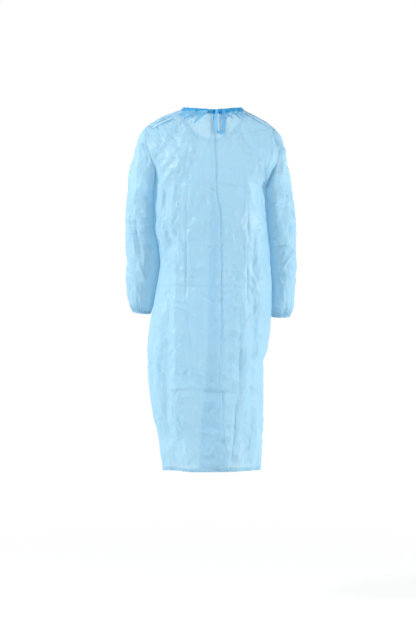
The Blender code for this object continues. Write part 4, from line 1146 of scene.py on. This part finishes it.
def loop_form():
    """The ribbon's grid: a centreline down, round half a circle and up, lifted off the cloth beneath by
    its stand-off, and across it a line that turns a quarter from edge-on to flat."""
    half = (LOOP_RIGHT - LOOP_LEFT) / 2
    centre_x, centre_z = (LOOP_LEFT + LOOP_RIGHT) / 2, LOOP_FOOT + half
    leg = np.linspace(LOOP_TOP, centre_z, LOOP_LEG_POINTS, endpoint=False)
    turn = np.linspace(math.pi, 2 * math.pi, LOOP_FOOT_POINTS)
    x = np.concatenate([0 * leg + LOOP_LEFT, centre_x + half * np.cos(turn), 0 * leg + LOOP_RIGHT])
    z = np.concatenate([leg, centre_z + half * np.sin(turn), leg[::-1]])
    flat = ease(np.linspace(-LOOP_TWIST_RUN, 1 + LOOP_TWIST_RUN, len(x)))
    twist = LOOP_OPEN + (math.pi / 2 - LOOP_OPEN) * flat
    reach = LOOP_RIBBON / 2
    near, far = depth_behind(x - reach, z), depth_behind(x + reach, z)
    out = np.stack([(far - near) / LOOP_RIBBON, -np.ones(len(x)), np.zeros(len(x))], axis=1)
    out /= np.linalg.norm(out, axis=1, keepdims=True)
    clear = LOOP_SEWN + (LOOP_CLEAR - LOOP_SEWN) * ease((LOOP_SEAM - z) / LOOP_SEWN_RUN)
    line = np.stack([x, (near + far) / 2, z], axis=1)
    line += out * (clear + LOOP_WALL / 2 + reach * np.cos(twist))[:, None]
    along = np.gradient(line, axis=0)
    along /= np.linalg.norm(along, axis=1, keepdims=True)
    side = np.cross(along, out)
    side /= np.linalg.norm(side, axis=1, keepdims=True)
    wide = np.cos(twist)[:, None] * np.cross(side, along) + np.sin(twist)[:, None] * side
    across = np.linspace(-reach, reach, LOOP_ACROSS + 1)
    return line + wide * across[:, None, None], across


loop_grid, loop_across = loop_form()
loop_along = distances(loop_grid[LOOP_ACROSS // 2])
loop_cloth = np.stack(np.meshgrid(loop_along, loop_across), axis=2)
loop = grid_piece("neck_tie_loop_ribbon", loop_grid, loop_cloth, LOOP_WALL, 0, tie_cloth)
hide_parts("neck_tie_loop")

# ---------------------------------------------------------------------------------------------------
# Seams. Shoulders, armholes and sides are sewn edge to edge, and the two raw edges stand inside as a
# narrow double strip that is overlocked in white thread and shows through the cloth.
# ---------------------------------------------------------------------------------------------------

# The strips of seam allowance, which lie inside the panels, and the sleeve heads' rows that they follow
SEAM_WIDTH = 0.011
SEAM_STRIP_COLUMNS = 5
SEAM_INSIDE = 0.0008
STRIP_WALL = 0.0003
PANEL_ROWS = SHOULDER_ROWS + ARMHOLE_ROWS + SIDE_ROWS + 1
LEAST_LEAN = 0.40
SLEEVE_HEAD_ROWS, SLEEVE_HEAD_LENGTH = 5, 0.45
# The overlock thread and the lockstitches, with the rows and the height that they are sewn at
THREAD_RADIUS, THREAD_SIDES = 0.00050, 5
OVERLOCK_PITCH, OVERLOCK_SWING = 0.0026, 0.0017
STITCH_PITCH, STITCH_RUN, STITCH_POINTS = 0.0042, 0.0030, 5
STITCH_RADIUS, STITCH_RISE, STITCH_SINK = 0.00028, 0.0004, 0.0001
HEM_STITCH_UP = 0.0085
BINDING_STITCH_ROW = 1
CUFF_STITCH_ROW, CUFF_STITCH_SIZE = 2, 0.7

# At scale 1 a wave texture's bands are tau / 20 apart, so at this scale they are 2.3 mm apart
PLY_SCALE = 1 / 0.0072
PLY_DEPTH, PLY_DEPTH_SHARE, PLY_SHADE = 0.0001, 0.3, 0.9
POLYESTER_IOR, THREAD_ROUGHNESS = 1.57, 0.65
# A direction that no thread runs in, to work out two others square to a thread
OFF_THREAD = (0.31, 0.52, 0.79)


def polyester(name, colour):
    """Spun polyester sewing thread: two plies twisted together, which give it a matte, slightly ropy
    surface. The plies' pitch of 0.6 mm is drawn at 2.3 mm so that it shows."""
    material = bpy.data.materials.new(name)
    tree = empty_tree(material)
    place = add(tree, "TexCoord", {})
    wave = {"Vector": place.outputs["Object"], "Scale": PLY_SCALE, "Distortion": 2.0}
    plies = add(tree, "TexWave", wave).outputs["Fac"]
    *bright, opaque = linear(colour)
    dark = (*(PLY_SHADE * c for c in bright), opaque)
    tone = add(tree, "MixRGB", {"Fac": plies, "Color1": (*bright, opaque), "Color2": dark})
    bump = add(tree, "Bump", {"Height": plies, "Strength": PLY_DEPTH_SHARE, "Distance": PLY_DEPTH})
    thread = {"Base Color": tone, "Roughness": THREAD_ROUGHNESS, "IOR": POLYESTER_IOR, "Normal": bump}
    add(tree, "OutputMaterial", {"Surface": add(tree, "BsdfPrincipled", thread)})
    return material


white_thread = polyester("spun_polyester_thread_white", "#F2F6FA")
blue_thread = polyester("spun_polyester_thread_pale_blue", "#B5DDF4")


def seam_strip(grid, normal, cloth):
    """The seam allowance along a grid's first column: the points of each row up to SEAM_WIDTH square to
    the seam, set inside the panel. A row that leans along the seam goes further before it is that far."""
    row_way = grid[:, 1] - grid[:, 0]
    step = np.linalg.norm(row_way, axis=1)
    seam_way = np.gradient(grid[:, 0], axis=0)
    lean = np.linalg.norm(np.cross(row_way, seam_way), axis=1) / step / np.linalg.norm(seam_way, axis=1)
    reach = SEAM_WIDTH / np.maximum(lean, LEAST_LEAN)
    column = np.linspace(0, 1, SEAM_STRIP_COLUMNS + 1) * (reach / step)[:, None]
    low = column.astype(int)
    part = (column - low)[..., None]
    row = np.arange(len(grid))[:, None]
    points, away, flat = (a[row, low] * (1 - part) + a[row, low + 1] * part for a in (grid, normal, cloth))
    return points - away * SEAM_INSIDE, away, flat


def tube(centre, radius):
    """Rings round a line of points, square to it, as a grid of (point, side): cos and sin of the angle
    along two directions at right angles to the line."""
    way = np.gradient(centre, axis=-2)
    way /= np.linalg.norm(way, axis=-1, keepdims=True)
    aside = np.cross(way, OFF_THREAD)
    aside /= np.linalg.norm(aside, axis=-1, keepdims=True)
    other = np.cross(way, aside)
    turn = np.linspace(0, math.tau, THREAD_SIDES, endpoint=False)[:, None]
    ring = np.cos(turn) * aside[..., None, :] + np.sin(turn) * other[..., None, :]
    return centre[..., None, :] + ring * radius


def tube_mesh(name, rings, material):
    """One mesh of many closed tubes from rings of (tube, point, side), with a flat cap at each end."""
    index = np.arange(math.prod(rings.shape[:3])).reshape(rings.shape[:3])
    after = np.roll(index, -1, axis=2)
    faces = np.stack([index[:, :-1], after[:, :-1], after[:, 1:], index[:, 1:]], axis=-1).reshape(-1, 4)
    caps = index[:, 0, ::-1].tolist() + index[:, -1].tolist()
    return sewn_piece(name, rings, faces.tolist() + caps, material)


def read_along(line, values, at):
    """Values that go with a line's points, such as the points or their normals, at distances along it."""
    along = distances(line)
    return np.stack([np.interp(at, along, values[:, k]) for k in range(3)], axis=-1)


def overlock(name, edge, inner):
    """Overlock thread: a zigzag that swings between a strip's edge and a line just inside it."""
    length, inner_length = distances(edge)[-1], distances(inner)[-1]
    at = np.arange(0, length, OVERLOCK_PITCH / 2)
    outer, inside = read_along(edge, edge, at), read_along(inner, inner, at * inner_length / length)
    swing = np.abs(at / OVERLOCK_PITCH % 1 * 2 - 1)[:, None]
    way = outer - inside
    way /= np.linalg.norm(way, axis=1, keepdims=True)
    line = outer + way * OVERLOCK_SWING * (swing - 0.5) * 2
    return tube_mesh(name, tube(line, THREAD_RADIUS)[None], white_thread)


def stitches(name, line, normal, size=1.0):
    """A row of lockstitches on a line: each is a short tube that rises out of the cloth and goes back
    in, by the sine of its length."""
    pitch, run = STITCH_PITCH * size, STITCH_RUN * size
    start = np.arange(pitch / 2, distances(line)[-1] - run, pitch)[:, None]
    share = np.linspace(0, 1, STITCH_POINTS)
    at = start + run * share
    out_of_cloth = (STITCH_RISE * np.sin(math.pi * share) - STITCH_SINK)[:, None]
    centre = read_along(line, line, at) + read_along(line, normal, at) * out_of_cloth
    return tube_mesh(name, tube(centre, STITCH_RADIUS), blue_thread)


def allowance(name, points, flat, centre, edge, inner):
    """A seam's two raw edges as one strip, and the thread that binds its edge."""
    strip = grid_piece(f"seam_allowance_{name}", points, flat, STRIP_WALL, -1, body_cloth, centre=centre)
    return [strip, overlock(f"overlock_{name}", edge, inner)]


strips = {name: [a[:PANEL_ROWS] for a in sewn[name]] for name in ("back_left", "back_right")}
strips["front_left"] = [a[:PANEL_ROWS] for a in sewn["front"]]
strips["front_right"] = [a[:, ::-1] for a in strips["front_left"]]
allowances = {}

for name, (grid, normal, cloth) in strips.items():
    points, away, flat = seam_strip(grid, normal, cloth)
    allowances[name] = allowance(name, points, flat, 0.0, points[:, -1], points[:, -2])
for side, head in sleeve_heads.items():
    ring, inward = (np.concatenate([a, a[:, :1]], axis=1)[:SLEEVE_HEAD_ROWS] for a in head)
    points = ring - inward * (SEAM_INSIDE + CLOTH_WALL)
    along, down = np.linspace(0, SLEEVE_HEAD_LENGTH, ring.shape[1]), -np.linspace(0, SEAM_WIDTH, len(ring))
    flat = np.stack(np.meshgrid(along, down), axis=2)
    name, middle = f"sleeve_{side}", float(ring[..., 0].mean())
    allowances[name] = allowance(name, points, flat, middle, points[-1], points[-2])

# Stitch rows: on the hem 8.5 mm above its edge, on the binding near its sewn edge, and on the cuffs
hem_row = PANEL_ROWS - 1 - round(HEM_STITCH_UP / ((UNDERARM_HEIGHT - HEM_HEIGHT) / SIDE_ROWS))
hem_stitches, cuff_stitches = {}, {}
for name in ("back_left", "back_right", "front"):
    grid, normal = (a[hem_row] for a in sewn[name][:2])
    hem_stitches[name] = stitches(f"hem_stitches_{name}", grid + normal * CLOTH_WALL, normal)
line, normal = (a[BINDING_STITCH_ROW] for a in (binding_grid, binding_normal))
binding_stitches = stitches("binding_stitches", line, normal)
for side, cuff in cuff_grids.items():
    line, normal = (np.concatenate([a[CUFF_STITCH_ROW], a[CUFF_STITCH_ROW, :1]]) for a in cuff)
    cuff_stitches[side] = stitches(f"cuff_stitches_{side}", line, normal, size=CUFF_STITCH_SIZE)

allowances["front"] = allowances["front_left"] + allowances["front_right"]

# ---------------------------------------------------------------------------------------------------
# Floor, light and camera. A plain pale floor that fades to white further out, white paper behind the
# gown, which shines through it, and two soft square lights in front.
# ---------------------------------------------------------------------------------------------------

FLOOR_HEIGHT, FLOOR_RADIUS, FLOOR_CORNERS = -1.545, 30.0, 96
FLOOR_CLEAR, FLOOR_FADED = 1.0, 2.5
FLOOR_WHITE = 0.7
PAPER_GREY = (0.86, 0.87, 0.88, 1.0)
WHITE = (1.0, 1.0, 1.0, 1.0)

turn = np.linspace(0, 2 * math.pi, FLOOR_CORNERS, endpoint=False)
rim = np.stack([FLOOR_RADIUS * np.cos(turn), FLOOR_RADIUS * np.sin(turn), FLOOR_HEIGHT + 0 * turn], axis=1)
floor_mesh = bpy.data.meshes.new("floor")
floor_mesh.from_pydata(rim.tolist(), [], [list(range(len(rim)))])
floor = bpy.data.objects.new("floor", floor_mesh)
bpy.context.scene.collection.objects.link(floor)
paper = bpy.data.materials.new("white_studio_paper")
tree = empty_tree(paper)
place = add(tree, "TexCoord", {})
far = add(tree, "VectorMath", {0: place.outputs["Object"]}, operation="LENGTH")
faded = {"From Min": FLOOR_CLEAR, "From Max": FLOOR_FADED, "To Min": FLOOR_WHITE}
fade = add(tree, "MapRange", {"Value": far.outputs["Value"], **faded}, interpolation_type="SMOOTHSTEP")
matte = add(tree, "BsdfDiffuse", {"Color": PAPER_GREY})
white = add(tree, "Emission", {"Color": WHITE, "Strength": 1.0})
mixed = add(tree, "MixShader", {0: fade, 1: matte, 2: white})
add(tree, "OutputMaterial", {"Surface": mixed})
floor_mesh.materials.append(paper)

# White paper hangs behind the gown and shines through it. The side that the camera stands on is dimmer.
# The camera itself sees white wherever it looks past the gown.
PAPER_GLOW, ROOM_GLOW = 0.86, 0.20
PAPER_EDGE, PAPER_FULL = -0.25, 0.45

world = bpy.data.worlds.new("studio")
bpy.context.scene.world = world
sky = empty_tree(world)
way = add(sky, "TexCoord", {})
parts = add(sky, "SeparateXYZ", {0: way.outputs["Generated"]})
lit = {"From Min": PAPER_EDGE, "From Max": PAPER_FULL, "To Min": ROOM_GLOW, "To Max": PAPER_GLOW}
glow = add(sky, "MapRange", {"Value": parts.outputs["Y"], **lit}, interpolation_type="SMOOTHSTEP")
seen = add(sky, "LightPath", {})
shine = add(sky, "MapRange", {"Value": seen.outputs["Is Camera Ray"], "To Min": glow})
room = add(sky, "Background", {"Color": WHITE, "Strength": shine})
add(sky, "OutputWorld", {"Surface": room})
bpy.context.scene.view_settings.view_transform = "Standard"

# Two square area lights that face the middle of the gown: their places and watts
SOFTBOXES = {"key_left": ((-3.1, -1.4, 1.2), 146.0), "key_right": ((3.2, -1.35, 0.1), 99.0)}
SOFTBOX_SIZE, SOFTBOX_TARGET = 0.6, (0.0, 0.0, -0.5)

for name, (place, watts) in SOFTBOXES.items():
    light = bpy.data.lights.new(name, "AREA")
    light.energy, light.size = watts, SOFTBOX_SIZE
    lamp = bpy.data.objects.new(name, light)
    x, y, z = np.array(SOFTBOX_TARGET) - place
    lamp.location = place
    lamp.rotation_euler = (math.acos(-z / math.hypot(x, y, z)), 0.0, math.atan2(y, x) - math.pi / 2)
    bpy.context.scene.collection.objects.link(lamp)

CAMERA_PLACE = (-0.009, -4.1, -0.631)
CAMERA_LENS, CAMERA_SENSOR = 76.8, 36.0

camera_data = bpy.data.cameras.new("camera")
camera_data.lens = CAMERA_LENS
camera_data.sensor_width = CAMERA_SENSOR
camera_data.sensor_fit = "AUTO"
camera = bpy.data.objects.new("camera", camera_data)
camera.location = CAMERA_PLACE
camera.rotation_euler = (math.pi / 2, 0.0, 0.0)
bpy.context.scene.collection.objects.link(camera)
bpy.context.scene.camera = camera
